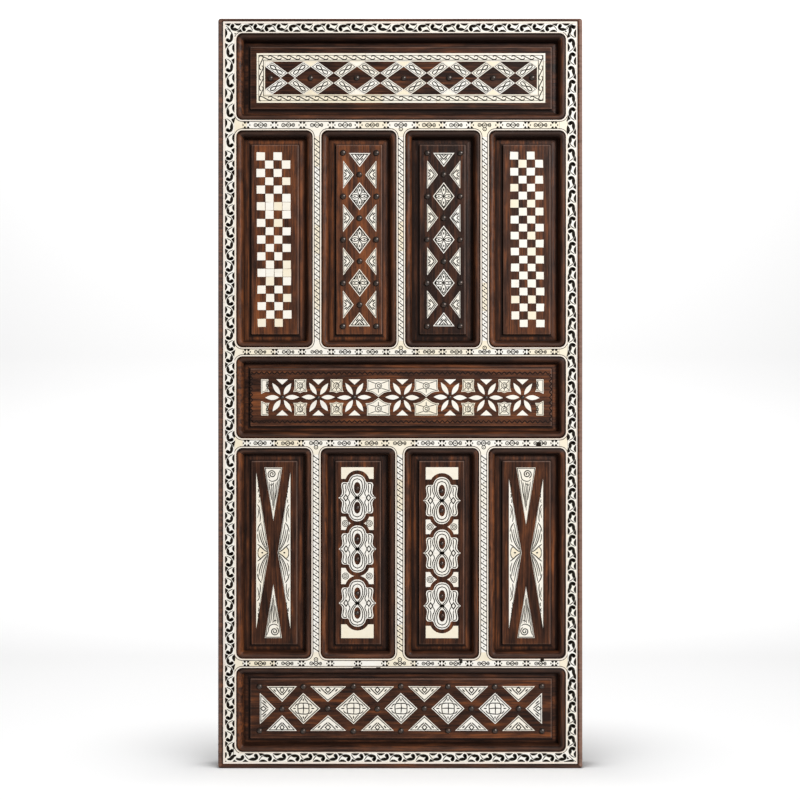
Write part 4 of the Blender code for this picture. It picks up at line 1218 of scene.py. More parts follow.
class Graver:
    """Engraves a motif that is drawn in millimetres from its own centre and axes."""

    def __init__(self, bench, origin, angle=0.0, scale=(1.0, 1.0), weight=1.05, bend=None):
        self.bench, self.origin, self.angle = bench, np.asarray(origin, float), angle
        self.scale, self.weight = np.asarray(scale, float) * MM, INK_SPREAD * weight * MM
        self.bend = bend or (lambda points: points)

    def at(self, points):
        """Points of the motif placed on the leaf."""
        return self.bend(placed(points, self.origin, self.angle, self.scale))

    def line(self, *points, weight=1.0, curved=False, taper=0.55):
        """A line through points, sharp or curved at them."""
        points = np.array(points, float)
        if not curved and len(points) > 2:
            for a, b in zip(points, points[1:]):
                self.line(a, b, weight=weight, taper=0.85)
            return
        stroke(self.bench, self.at(points), self.weight * weight, TILE_INK, 4, taper, curved)

    def outline(self, points, weight=1.0):
        """A line round a closed figure."""
        closed_stroke(self.bench, self.at(points), self.weight * weight, TILE_INK)

    def ring(self, centre, radius, weight=1.0, sides=14):
        """A line round a circle."""
        self.outline(arc((0, 0), radius, 0, 360 - 360 / sides, sides - 1) + centre, weight)

    def dot(self, centre, radius):
        """A filled spot with six sides."""
        rim = self.at(arc((0, 0), radius, 0, 300, 5) + centre)
        centre = self.at([centre])[0]
        self.bench.skin([at_depth(rim, TILE_INK),
                         at_depth(centre + (rim - centre) * 0.4, TILE_INK + 0.4 * MM)])

    def both(self, *points, **settings):
        """A line and its mirror image."""
        self.line(*points, **settings)
        self.line(*(np.array(points) * (-1.0, 1.0)), **settings)

    def curves(self, paths, **settings):
        """Curved lines, each given as its weight and its points."""
        for weight, *points in paths:
            self.line(*points, weight=weight, curved=True, **settings)


def border_line(bench, outline, inset, half_width):
    """An engraved line that follows a tile's outline at some distance inside it."""
    closed_stroke(bench, drawn_in(outline, inset), INK_SPREAD * half_width, TILE_INK)


def lattice(columns, rows, bay, strip):
    """Lozenges between crossed strips, halved along the field's sides and ends.

    Lozenge (i, j) stands at (i a, j b) for even i + j + columns + rows + 1, with half
    diagonals a - strip and (a - strip) b / a. Gives ((i, j), centre, corners) for each.
    """
    a, b = bay
    half = np.array([a - strip, b * (a - strip) / a])
    tiles = []
    for i in range(-columns, columns + 1):
        for j in range(-rows, rows + 1):
            at_side, at_end = abs(i) == columns, abs(j) == rows
            if (i + j + columns + rows + 1) % 2 or (at_side and at_end):
                continue
            corners = np.array([(0, -1), (1, 0), (0, 1), (-1, 0)]) * half
            if at_side:
                corners = corners[corners[:, 0] * i <= 0]
            if at_end:
                corners = corners[corners[:, 1] * j <= 0]
            tiles.append(((i, j), np.array([i * a, j * b]), corners))
    return tiles


def crossings(columns, rows, bay):
    """Where the strips of a lattice cross: the places between its lozenges."""
    return np.array([(i * bay[0], j * bay[1]) for i in range(-columns, columns + 1)
                     for j in range(-rows, rows + 1) if (i + j + columns + rows) % 2 == 0])


TOP_INLAY = (383.0 * MM, 65.9 * MM)
TOP_FRAME = 22.3 * MM
TOP_STRIP = 18.5 * MM
TOP_RIM, TOP_LINE = 5.6 * MM, 3.9 * MM
TOP_BAY = ((TOP_INLAY[0] - TOP_FRAME) / 6, TOP_INLAY[1] - TOP_FRAME)
TOP_DRIFT = (8.0 * MM, 70.0 * MM, 200.0 * MM)
TOP_JOINTS = (-94 * MM, 50.0 * MM, 236 * MM)
WAVE_PITCH = 25.2 * MM
# one wave, its pitch and its height taken as 1, and the two almond loops of an arm in mm
WAVE = ((-0.13, 0.62), (-0.15, 0.80), (-0.04, 0.97), (0.12, 0.93), (0.50, 0.48), (0.82, 0.10),
        (0.98, 0.04), (1.12, 0.12), (1.20, 0.30), (1.14, 0.46))
LOOPS = ((-17.5, -0.6), (-15.5, 2.6), (-8, 4.2), (0, 0), (8, -4.2), (15.5, -2.6), (17.5, 0.6),
         (14, 3.9), (7, 3.6), (0, 0), (-7, -3.6), (-14, -3.9), (-16.5, -1.4))


def lay_top_frame(bench, draw):
    """Long plates above and below, an upright at each end, and keystones between the arms."""
    centre = inlay_centre("top")
    (a, b), s = TOP_BAY, TOP_STRIP
    width, height = TOP_INLAY
    inner = width - TOP_FRAME
    for side in (1, -1):
        cuts = sorted(side * cut for cut in (-width, *TOP_JOINTS, width))
        for start, end in zip(cuts, cuts[1:]):
            corners = np.array([(start, b), (end, b), (end, height), (start, height)]) * (1, side)
            lay_tile(bench, corners + centre, draw.uniform(0.15, 0.65) - 0.1 * side)
        corners = np.array([(inner, -b), (width, -b), (width, b), (inner, b)]) * (side, 1)
        lay_tile(bench, corners + centre, draw.uniform(0.2, 0.5), True)
        for x in np.arange(-6, 7, 2) * a:
            stone = np.array([(max(x - s, -inner), b), (x, b - s * b / a), (min(x + s, inner), b)])
            if abs(x) > inner - MM:
                stone = np.array([(x, b), (x, b - s * b / a), (x - math.copysign(s, x), b)])
            stone = drifted(stone * (1, side), *TOP_DRIFT) + centre
            lay_tile(bench, stone, 0.75 if abs(x) in (a * 4, 0.0) else 0.3)


def lay_top_arms(bench, ink, draw):
    """Four arms round each crossing, each with a rim line and two almond loops."""
    centre = inlay_centre("top")
    (a, b), s = TOP_BAY, TOP_STRIP
    arm = np.array([(s, 0), (a, b - s * b / a), (a - s, b), (0, s * b / a)])
    slope = math.degrees(math.atan2(b, a))
    for x in np.arange(-5, 6, 2) * a:
        for side in (1, -1):
            for end in (1, -1):
                corners = drifted(arm * (side, end) + (x, 0), *TOP_DRIFT)
                lay_tile(bench, corners + centre, draw.uniform(0.0, 0.35))
                border_line(ink, corners + centre, 3.0 * MM, 0.6 * MM)
                graver = Graver(ink, corners.mean(0) + centre, slope * side * end,
                                (side, end * side), 1.15)
                loops = np.array(LOOPS) * (draw.uniform(1.02, 1.14), 1.05)
                graver.line(*loops, curved=True, taper=0.8)


def engrave_top_frame(ink, draw):
    """A rim line and an inner line round the frame, with waves running between them."""
    centre = inlay_centre("top")
    width, height = TOP_INLAY
    border_line(ink, SQUARE * TOP_INLAY + centre, TOP_RIM, 0.55 * MM)
    border_line(ink, SQUARE * TOP_INLAY + centre, TOP_FRAME - TOP_LINE, 0.7 * MM)
    deep = TOP_FRAME - TOP_RIM - TOP_LINE - 1.6 * MM
    inset = TOP_FRAME - TOP_LINE - 0.8 * MM - deep / 2
    for side, heading, reach, length, angle in (
            ((0, 1), (1, 0), height, width, 0), ((0, -1), (1, 0), height, width, 0),
            ((-1, 0), (0, -1), width, height, 270), ((1, 0), (0, -1), width, height, 270)):
        room = 2 * (length - TOP_RIM) - 10 * MM
        count = round(room / WAVE_PITCH)
        pitch = room / count
        for i in range(count):
            place = np.array(side) * (reach - inset) + np.array(heading) * (i - count / 2) * pitch
            graver = Graver(ink, centre + place, angle)
            wave = (np.array(WAVE) - (0, 0.5)) * (pitch, deep * draw.uniform(0.9, 1.0))
            graver.line(*(wave / MM), curved=True, taper=0.7)


class DOOR_OT_top_lattice(bpy.types.Operator):
    """The bone lattice of the top panel, framed and engraved"""

    bl_idname = "door.top_lattice"
    bl_label = "Top lattice"

    def execute(self, context):
        """Each crossing has four arms, whose corners are (s, 0), (a, b - s b / a), (a - s, b)
        and (0, s b / a) for bay (a, b) and strip s, and a keystone closes each pair of arms.
        """
        bench, ink, draw = Bench(), Bench(), chance(11)
        lay_top_frame(bench, draw)
        lay_top_arms(bench, ink, draw)
        engrave_top_frame(ink, draw)
        bench.piece("top_lattice", "Engraved bone", ["bone_lattice_top"])
        ink.piece("top_lattice_engraving", "Black mastic")
        return {"FINISHED"}


# each checker's columns, rows, width and height of a square, and its mended rows
CHECKERS = {"upper_1": (4, 21, 22.5 * MM, 22.1 * MM, (6, 14)),
            "upper_4": (4, 22, 22.0 * MM, 21.2 * MM, ())}


class DOOR_OT_checkers(bpy.types.Operator):
    """Squares of bone in the two outer panels of the upper row"""

    bl_idname = "door.checkers"
    bl_label = "Checkers"

    def execute(self, context):
        """Square (column, row) is bone where column + row is even, and all along a mended row."""
        bench, draw = Bench(), chance(12)
        for name, (columns, rows, width, height, mended) in CHECKERS.items():
            centre = inlay_centre(name)
            lean = draw.uniform(0.1, 0.2) * MM
            for row in range(rows):
                for column in range(columns):
                    if row not in mended and (column + row) % 2:
                        continue
                    size = np.array([width, height]) / 2 * draw.uniform(0.94, 1.01, 2)
                    place = ((column - columns / 2 + 0.5) * width + (row - rows / 2) * lean,
                             (rows / 2 - row - 0.5) * height)
                    corners = SQUARE * size
                    corners += draw.uniform(-0.45, 0.45, (4, 2)) * MM + place + centre
                    lay_tile(bench, corners, plate_tone(draw, 0.25) * 0.9 + 0.08)
        bench.piece("checkers", "Engraved bone", ["bone_checker_left", "bone_checker_right"])
        return {"FINISHED"}


UPPER_BAY = (44.0 * MM, 57.5 * MM)
UPPER_STRIP = 15.4 * MM
BOTTOM_BAY = (62.4 * MM, 59.2 * MM)
BOTTOM_STRIP = 18.6 * MM
BOTTOM_DRIFT = (-10.0 * MM, -235.0 * MM, 75.0 * MM)


def leafy_lozenge(graver, draw):
    """Four pointed petals with seeds, and a small triangle between each pair."""
    for turn in (0, 90, 180, 270):
        upright = turn % 180 == 90
        length, breadth = (27.5, 5.6) if upright else (21.5, 5.2)
        share = np.array([(0.06, 0), (0.30, -0.72), (0.62, -1.0), (0.88, -0.55), (1.0, 0),
                          (0.88, 0.55), (0.62, 1.0), (0.30, 0.72)])
        graver.outline(placed(share * (length, breadth), (0, 0), turn), 0.85)
        seed = placed([(length * 0.48, 0), (length * 0.74, 0)], (0, 0), turn)
        graver.line(*seed, weight=1.5, taper=0.3)
        mirror = (1 if turn in (0, 270) else -1, 1 if turn in (0, 90) else -1)
        graver.outline(np.array([(8.0, 10.6), (14.4, 10.6), (8.0, 19.2)]) * mirror, 0.75)


def leafy_gable(graver, long_base):
    """Chevrons and dashes in a triangle whose base is at 0 and whose tip points up."""
    if long_base:
        graver.line((-14.5, 8.0), (0, 20.0), (14.5, 8.0), weight=1.15)
        graver.both((-13.0, 3.6), (-6.5, 9.6), weight=1.25)
        graver.line((-6.0, 3.4), (0, 9.4), (6.0, 3.4))
    else:
        graver.line((-12.0, 4.6), (0, 17.5), (12.0, 4.6), weight=1.2)
        graver.outline([(-6.0, 3.6), (6.0, 3.6), (0, 9.2)])
        graver.both((-9.5, 13.0), (-3.2, 20.5), weight=1.15)


def netted_lozenge(graver, draw):
    """A bulging net of four squares, with a tent over each side of it."""
    w, h = 14.5, 12.8
    side = [(-w, -h), (0, -h * 1.12), (w, -h), (w * 1.10, 0), (w, h), (0, h * 1.12), (-w, h),
            (-w * 1.10, 0)]
    graver.outline(spline([*side, side[0]], 2)[:-1], 0.95)
    graver.line((-w * 1.1, draw.uniform(-1, 1)), (0, 1.2), (w * 1.1, draw.uniform(-1, 1)), curved=True)
    graver.line((draw.uniform(-1, 1), -h * 1.1), (1.0, 0), (draw.uniform(-1, 1), h * 1.1), curved=True)
    for end in (1, -1):
        graver.both((-2.0, 31.0 * end), (-6.0, 24.0 * end), (-13.5, 15.5 * end), curved=True)
        graver.both((-w, h * end), (-20.5, 11.0 * end), (-25.0, 5.0 * end), curved=True)
        graver.line((0, 27.0 * end), (0, 19.5 * end), weight=1.3, taper=0.3)
        graver.line((31.0 * end, 0.6), (22.0 * end, 0.4), weight=1.2, taper=0.3)


def netted_gable(graver, long_base):
    """A small diamond on the base under a broken chevron, with two dashes at either side."""
    graver.outline([(0, 2.4), (6.2, 9.6), (0, 17.0), (-6.2, 9.6)])
    if long_base:
        graver.both((-16.5, 5.0), (-10.0, 13.0), (-1.5, 23.0), weight=1.1, curved=True)
        graver.both((-22.0, 7.0), (-13.0, 17.5), weight=1.3, taper=0.4)
    else:
        graver.both((-18.0, 4.4), (-9.0, 15.0), (-1.0, 22.5), weight=1.1)
        graver.both((-24.0, 7.5), (-17.5, 14.5), weight=1.35, taper=0.4)


def lay_lattice(bench, ink, draw, name, columns, rows, bay, strip, lozenge, gable, drift):
    """The tiles of one lattice panel with their rims and motifs."""
    centre = inlay_centre(name)

    def bend(points):
        """The lattice's sideways drift, seen from the panel's centre."""
        return drifted(np.asarray(points) - centre, *drift) + centre

    for (i, j), place, corners in lattice(columns, rows, bay, strip):
        outline = bend(corners + place + centre + draw.uniform(-0.35, 0.35, (len(corners), 2)) * MM)
        lay_tile(bench, outline, draw.uniform(0.0, 0.35))
        border_line(ink, outline, 3.4 * MM, 0.95 * MM)
        angle = {True: 90.0 if i > 0 else -90.0, False: 180.0 if j > 0 else 0.0}[abs(i) == columns]
        if len(corners) == 4:
            lozenge(Graver(ink, place + centre, 0.0, draw.uniform(0.96, 1.03, 2), bend=bend), draw)
        else:
            gable(Graver(ink, place + centre, angle, draw.uniform(0.95, 1.04, 2), bend=bend),
                  abs(i) == columns)


class DOOR_OT_lozenges(bpy.types.Operator):
    """Lozenges of bone in the upper row's inner panels and in the bottom panel"""

    bl_idname = "door.lozenges"
    bl_label = "Lozenges"

    def execute(self, context):
        """Tiles are the lozenges between crossed strips, and a bell curve moves them sideways."""
        draw = chance(13)
        for name in ("upper_2", "upper_3", "bottom"):
            bench, ink = Bench(), Bench()
            if name == "bottom":
                lay_lattice(bench, ink, draw, name, 6, 1, BOTTOM_BAY, BOTTOM_STRIP, netted_lozenge,
                            netted_gable, BOTTOM_DRIFT)
            else:
                lay_lattice(bench, ink, draw, name, 1, 4, UPPER_BAY, UPPER_STRIP, leafy_lozenge,
                            leafy_gable, (0.0, 0.0, 1.0))
            bench.piece(f"lozenges_{name}", "Engraved bone")
            ink.piece(f"lozenge_engraving_{name}", "Black mastic")
        return {"FINISHED"}


FLOWER_PITCH, FLOWER_WIDE_PITCH = 96.0 * MM, 126.8 * MM
ZIGZAG_PITCH = 13.7 * MM
# half the height of the row of flowers, and the right halves of the tiles above its line, in mm
FLOWER_BAND = 48.1
NARROW_TILE = ((0, 11.5), (8.0, 14.8), (19.0, 14.5), (16.2, 21.0), (15.0, 30.0), (15.2, 40.0),
               (16.0, FLOWER_BAND))
WIDE_TILE = ((0, 1.0), (7.0, 6.5), (15.0, 12.0), (25.0, 15.0), (34.5, 15.5), (31.0, 22.0),
             (30.0, 30.0), (30.2, 40.0), (30.5, FLOWER_BAND))


def flower_centres():
    """The seven flowers, three close together at each side of one set wide."""
    steps = np.array([0, FLOWER_WIDE_PITCH, FLOWER_WIDE_PITCH + FLOWER_PITCH,
                      FLOWER_WIDE_PITCH + 2 * FLOWER_PITCH])
    return np.concatenate([-steps[:0:-1], steps]) + 3.5 * MM


def petal_outline():
    """A petal whose edge is 6.4 sin(pi u^0.92) from its ray at 8 + 38 u, for u from 0 to 1."""
    u = np.linspace(0, 1, 9)
    edge = np.stack([8.0 + 38.0 * u, 6.4 * np.sin(np.pi * u ** 0.92)], -1)
    return np.vstack([edge * (1, -1), edge[-2:0:-1]])


def lay_flower(bench, draw, place):
    """Six petals, with a small triangle above and below them."""
    for angle in (0, 57, 123, 180, 237, 303):
        size = draw.uniform(0.96, 1.03)
        outline = placed(petal_outline(), place, angle + draw.uniform(-2, 2),
                         (size * MM, MM * draw.uniform(0.92, 1.08)))
        lay_tile(bench, outline, draw.uniform(0.0, 0.2))
    for side in (1, -1):
        corners = np.array([(0, 33.6), (16.0, FLOWER_BAND), (-16.0, FLOWER_BAND)]) * (1, side)
        lay_tile(bench, corners * MM + place, draw.uniform(0.0, 0.2))


def engrave_swirl(graver, wide, way):
    """A swirl in a ring, with rays to the tile's corners and a dot at the end of each."""
    heart = (0, 30.5 if wide else 31.5)
    reach, brow, tip, radius = (26.0, 19.0, 12.0, 8.4) if wide else (11.5, 20.0, 17.5, 7.6)
    turn = np.linspace(0.4, 2.6 * np.pi, 15) * way
    swirl = np.stack([np.cos(turn), np.sin(turn)], -1) * np.linspace(1.6, 6.0, 15)[:, None]
    graver.line(*(swirl + heart), curved=True, taper=0.8)
    graver.ring(heart, radius, 0.9)
    for side in (-1, 1):
        graver.line((side * 6.2, heart[1] - 6), (side * reach, brow))
        graver.line((side * 6.2, heart[1] + 6), (side * reach, 43.5))
        graver.dot((side * reach, 43.2), 1.1)
        graver.dot((side * reach, 19.5), 1.1)
    graver.line((0, heart[1] - 8), (0, tip), weight=1.1)


def lay_between(bench, ink, draw, place, half, swirl, lean=1):
    """A tile above and one below the line of flowers. Without a swirl it has two crossed curves."""
    for end in (1, -1):
        tile = placed(half, place, 0, (MM, end * MM))
        lay_tile(bench, tile, draw.uniform(0.3, 0.6))
        border_line(ink, tile, 2.6 * MM, 0.5 * MM)
        if swirl is None:
            graver = Graver(ink, place, 0, (lean, end), 0.74)
            graver.line((4, 19), (10.5, 31), (5, 43), curved=True)
            graver.line((12, 22), (5.5, 32), (11, 43), curved=True)
        else:
            engrave_swirl(Graver(ink, place, 0, (1.0, end), 0.74), swirl, draw.choice((-1, 1)))


def lay_zigzag_shade(centre, draw):
    """A dark zigzag strip laid just proud of the middle panel's field, swinging 3.1 mm to either side:
    painted shade standing in for a carved groove.
    """
    bench = Bench()
    half = np.array([397.0, 64.6]) * MM
    for axis, end in ((0, 1), (0, -1), (1, 1), (1, -1)):
        count = 2 * round(half[axis] * 2 / ZIGZAG_PITCH)
        along = np.linspace(-half[axis], half[axis], count + 1)
        across = end * half[1 - axis] + 3.1 * MM * (-1.0) ** np.arange(count + 1)
        path = np.stack([along, across] if axis == 0 else [across, along], -1) + centre
        path += draw.uniform(-0.4, 0.4, path.shape) * MM
        path = np.vstack([np.linspace(p, q, 3, endpoint=False) for p, q in zip(path, path[1:])])
        # the strip is tinted and soiled nearly black: painted shade for the shadow in a carved groove
        bench.cut(path, 1.6 * MM, FIELD_DEPTH - 0.09 * MM, 0.4 * MM, tint=-2.6, wear=-1.0)
    bench.piece("carved_zigzag", "Panel timber")


class DOOR_OT_flowers(bpy.types.Operator):
    """Six-petalled flowers, engraved tiles and the zigzag of the middle panel, a dark line of painted
    shade for a carved groove
    """

    bl_idname = "door.flowers"
    bl_label = "Flowers"

    def execute(self, context):
        """Tiles with hollow sides stand between the flowers, and half tiles at the row's ends."""
        bench, ink, draw = Bench(), Bench(), chance(14)
        centre = inlay_centre("middle")
        flowers = flower_centres()
        for x in flowers:
            lay_flower(bench, draw, centre + (x, 0))
        for x, beyond in zip(flowers, flowers[1:]):
            wide = beyond - x > 1.1 * FLOWER_PITCH
            side = np.array(WIDE_TILE if wide else NARROW_TILE)
            half = np.vstack([side, side[:0:-1] * (-1, 1)])
            lay_between(bench, ink, draw, np.array([(x + beyond) / 2, 0]) + centre, half, wide)
        side = np.array(NARROW_TILE)[1:] - (4.5, 0)
        half = np.vstack([[(-8.0, 9.0)], side, [(-8.0, FLOWER_BAND)]])
        for x, lean in ((flowers[0] - FLOWER_PITCH / 2, 1), (flowers[-1] + FLOWER_PITCH / 2, -1)):
            place = np.array([x, 0]) + centre
            lay_between(bench, ink, draw, place, half * (lean, 1), None, lean)
        bench.piece("flowers", "Engraved bone")
        ink.piece("flower_tile_engraving", "Black mastic")
        lay_zigzag_shade(centre, draw)
        return {"FINISHED"}


# half the field's size in mm
WEDGE_FIELD = (45.4, 226.2)
# each panel's end triangles, upper and lower, as (tip, half width), and its flanks' upper tip
WEDGES = {"lower_1": (((84.5, 23.6), (83.0, 22.6)), 214.0),
          "lower_4": (((73.0, 25.6), (89.0, 22.8)), 197.0)}
FLANK_FOOT, FLANK_WAIST = -202.0, -11.7
# lines as (weight, points): below the curl of an end triangle, and over half a flank
END_VEINS = (
    (1.0, (-17.5, 219.0), (-13.5, 208.0), (-11.0, 196.0), (-3.0, 190.5), (6.0, 190.0), (12.5, 194.5)),
    (1.0, (-13.5, 194.0), (-10.0, 180.0), (-8.2, 160.0), (-4.0, 138.0)),
    (0.85, (-8.0, 187.0), (-4.8, 172.0), (-4.6, 152.0), (-2.2, 120.0)),
    (1.0, (-1.5, 186.5), (0.6, 168.0), (-1.2, 148.0), (0.6, 112.0)),
    (0.85, (5.0, 186.0), (4.2, 166.0), (2.6, 146.0), (1.8, 124.0)),
    (1.0, (11.5, 188.0), (10.4, 176.0), (7.2, 158.0), (4.4, 140.0)),
    (1.0, (0.5, 184.0), (4.5, 179.0), (8.6, 181.0)))
FLANK_VEINS = (
    (1.2, (-42.0, 22.5), (-34.4, 16.9), (-24.0, 7.2), (-13.4, 0.6)),
    (1.0, (-34.0, 16.0), (-39.5, 9.5), (-40.8, 0)),
    (1.1, (-38.5, 62.0), (-35.5, 44.0), (-28.5, 24.0), (-16.5, 5.5)),
    (0.85, (-33.5, 62.0), (-30.5, 44.0), (-24.5, 24.0), (-15.5, 8.0)),
    (1.0, (-31.0, 76.0), (-27.5, 56.0), (-23.0, 36.0), (-15.5, 12.0)),
    (1.1, (-42.5, 56.0), (-38.5, 70.0), (-31.5, 80.0)),
    (0.9, (-41.5, 50.0), (-40.5, 38.0), (-37.0, 27.0)),
    (1.0, (-35.5, 82.0), (-34.2, 96.0), (-37.0, 112.0)),
    (0.85, (-42.0, 92.0), (-39.0, 106.0), (-40.8, 118.0)),
    (1.0, (-42.3, 128.0), (-37.6, 120.5), (-35.2, 110.0)))
HEART = ((-14.5, 0), (-23.5, 6.2), (-33.0, 15.0), (-38.5, 9.0), (-40.2, 0))


def lay_wedge(bench, ink, draw, corners, centre, scale):
    """A triangle of bone with a line inside its edge."""
    tile = placed(corners, centre, 0, scale)
    lay_tile(bench, tile, draw.uniform(0.15, 0.4), True)
    border_line(ink, tile, 2.2 * MM, 0.8 * MM)


def engrave_end(graver):
    """A curl over long veins. Its radius shrinks evenly from 11.5 to 1.6 as it turns."""
    turn = np.linspace(-0.35, 3.4, 26) * np.pi
    curl = np.stack([np.cos(turn), np.sin(turn)], -1) * np.linspace(11.5, 1.6, 26)[:, None]
    graver.line(*(curl + (3.3, 208.5)), curved=True, taper=0.8, weight=1.15)
    graver.curves(END_VEINS)


def engrave_flank(graver, draw):
    """Veins that fan out from the heart, and short cuts towards the tip."""
    graver.curves(FLANK_VEINS)
    for z in (132, 146, 160, 174):
        x = -41.6 + 31.0 * (1 - z / 205) * draw.uniform(0.15, 0.6)
        graver.line((x - 0.8, z), (x + 1.0, z + 4.5), (x - 0.5, z + 10.0), curved=True,
                    weight=draw.uniform(0.8, 1.05))


class DOOR_OT_wedges(bpy.types.Operator):
    """Long triangles of bone in the two outer panels of the lower row"""

    bl_idname = "door.wedges"
    bl_label = "Wedges"

    def execute(self, context):
        """Triangles stand on the field's four sides with their tips towards its centre. The
        flanks carry a yellow heart, a closed curve through its own points and their mirror images.
        """
        bench, ink, draw = Bench(), Bench(), chance(15)
        side, end = WEDGE_FIELD
        heart = spline([*HEART, *((x, -z) for x, z in HEART[-2:0:-1]), HEART[0]], 3)[:-1]
        for name, (wedges, flank_tip) in WEDGES.items():
            centre = inlay_centre(name)
            for sign, (tip, half) in zip((1, -1), wedges):
                lay_wedge(bench, ink, draw, [(0, tip), (half, end), (-half, end)], centre,
                          (MM, sign * MM))
                lean = sign if name == "lower_4" else -sign
                engrave_end(Graver(ink, centre, 0, (lean, sign), 0.95))
                flank = [(-side, FLANK_FOOT), (FLANK_WAIST, 0), (-side, flank_tip)]
                lay_wedge(bench, ink, draw, flank, centre, (sign * MM, MM))
                bench.tile(placed(heart, centre, 0, (sign * MM, MM)), TILE_TOP - 0.03 * MM,
                           0.3 * MM, 0.02 * MM, 0.75,
                           lambda rings: board_grain(rings, True, (0, 0, 0)))
                for up in (1, -1):
                    graver = Graver(ink, centre, 0, (sign, up), 0.95)
                    if up == 1:
                        graver.line((-32.0, 0.4), (-26.5, -0.3), weight=1.8, taper=0.4)
                    engrave_flank(graver, draw)
        bench.piece("wedges", "Engraved bone",
                    [f"bone_wedge_{side}_{place}" for side in ("left", "right")
                     for place in ("top", "bottom", "left", "right")])
        ink.piece("wedge_engraving", "Black mastic")
        return {"FINISHED"}


# half the field's size, the heights of the three cartouches and those of the blocks' feet, in mm
CARTOUCHE_FIELD = (43.2, 226.9)
CARTOUCHE_PLACES = {"lower_2": (-133.7, 10.0, 145.8), "lower_3": (-141.1, -1.0, 138.4)}
BLOCK_FEET = {"lower_2": (-190.0, 195.8), "lower_3": (-194.0, 194.2)}
LOBE_RADIUS, LOBE_CENTRE = 22.8, 40.0
STRAP_WIDTH = 10.0
STRAP_RADIUS = LOBE_RADIUS + STRAP_WIDTH
SHOULDER = 40.2
HOLE_CENTRE, HOLE_HALF = 26.2, (8.6, 15.6)
RINGS_AT = (31.5, 0)
# lines over a quarter of a cartouche as (weight, points): even bands, then veins
QUARTER_BANDS = (
    (1.0, (0, 51.0), (9.5, 46.5), (13.5, 36.0), (13.8, 26.0), (9.6, 13.5), (0.0, 1.5), (-4.5, -4.0)),
    (1.0, (0, 58.5), (11.5, 55.5), (18.2, 46.5), (19.6, 37.0), (18.6, 24.0), (13.0, 11.0), (5.0, 1.5),
     (2.5, -1.0)),
    (1.0, (28.0, 38.0), (35.0, 38.0), (38.5, 33.0), (37.2, 22.0), (35.8, 12.0), (40.0, 5.0),
     (46.0, 1.2)))
QUARTER_VEINS = (
    (1.0, (22.5, 40.5), (24.2, 33.0), (24.6, 25.0), (20.0, 13.5), (22.5, 6.0), (26.0, 1.5)),
    (1.0, (28.5, 37.5), (30.5, 29.0), (29.5, 20.0), (31.0, 12.0)))


def cartouche_quarter():
    """The outline from the spike at the right up to the top of the upper lobe."""
    shoulder = spline([(50.0, 0), (44.6, 4.5), (41.4, 9.6), (40.2, 16.0), (41.2, 24.5), (42.6, 33.5),
                       (40.6, 39.6), (36.5, 41.3), (31.0, 41.3), (26.6, 40.6)], 2)
    return np.vstack([shoulder, arc((0, LOBE_CENTRE), LOBE_RADIUS, 8, 90, 8)])


def pointed_oval(half_x, half_z, steps=9):
    """An oval with points above and below: x = half_x sin(pi t)^0.9, z = -half_z cos(pi t)."""
    t = np.linspace(0, 1, steps)
    right = np.stack([half_x * np.sin(np.pi * t) ** 0.9, -half_z * np.cos(np.pi * t)], -1)
    return np.vstack([right, right[-2:0:-1] * (-1, 1)])


def lay_cartouche(bench, ink, place, tone):
    """Four quarters, each a band between the outline and the rim of a hole."""
    rim = pointed_oval(*HOLE_HALF)[:9] + (0, HOLE_CENTRE)
    band = np.vstack([cartouche_quarter(), rim[::-1], [(0.0, 0.0)]])
    for side in (1, -1):
        for end in (1, -1):
            lay_tile(bench, placed(band, place, 0, (side * MM, end * MM)), tone, True)
            graver = Graver(ink, place, 0, (side, end), 1.0)
            graver.curves(QUARTER_BANDS, taper=0.9)
            graver.curves(QUARTER_VEINS)
        graver = Graver(ink, place, 0, (side, 1), 1.0)
        graver.outline([(30.3, -8.4), (36.2, 0), (30.3, 8.4), (24.4, 0)], 1.1)


def strap_angle(height):
    """Where the strap round a lobe crosses a height over the lobe's centre, in degrees."""
    return math.degrees(math.asin(height / STRAP_RADIUS))


def block_outline(lobe, foot):
    """The block at a field's end, hollowed by the strap round the outermost lobe."""
    width, height = CARTOUCHE_FIELD
    start = strap_angle(foot - lobe)
    return np.vstack([[(-width, foot)], arc((0, lobe), STRAP_RADIUS, 180 - start, start, 10),
                      [(width, foot), (width, height), (-width, height)]])


def corner_outline(half_gap):
    """The tile beside the strap between two cartouches whose centres are 2 half_gap apart."""
    width = CARTOUCHE_FIELD[0]
    rise, lobe = half_gap - SHOULDER - STRAP_WIDTH, half_gap - LOBE_CENTRE
    upper = arc((0, lobe), STRAP_RADIUS, strap_angle(rise - lobe), strap_angle(-lobe), 7)
    return np.vstack([[(width, rise)], upper, upper[-2::-1] * (1, -1), [(width, -rise)]])


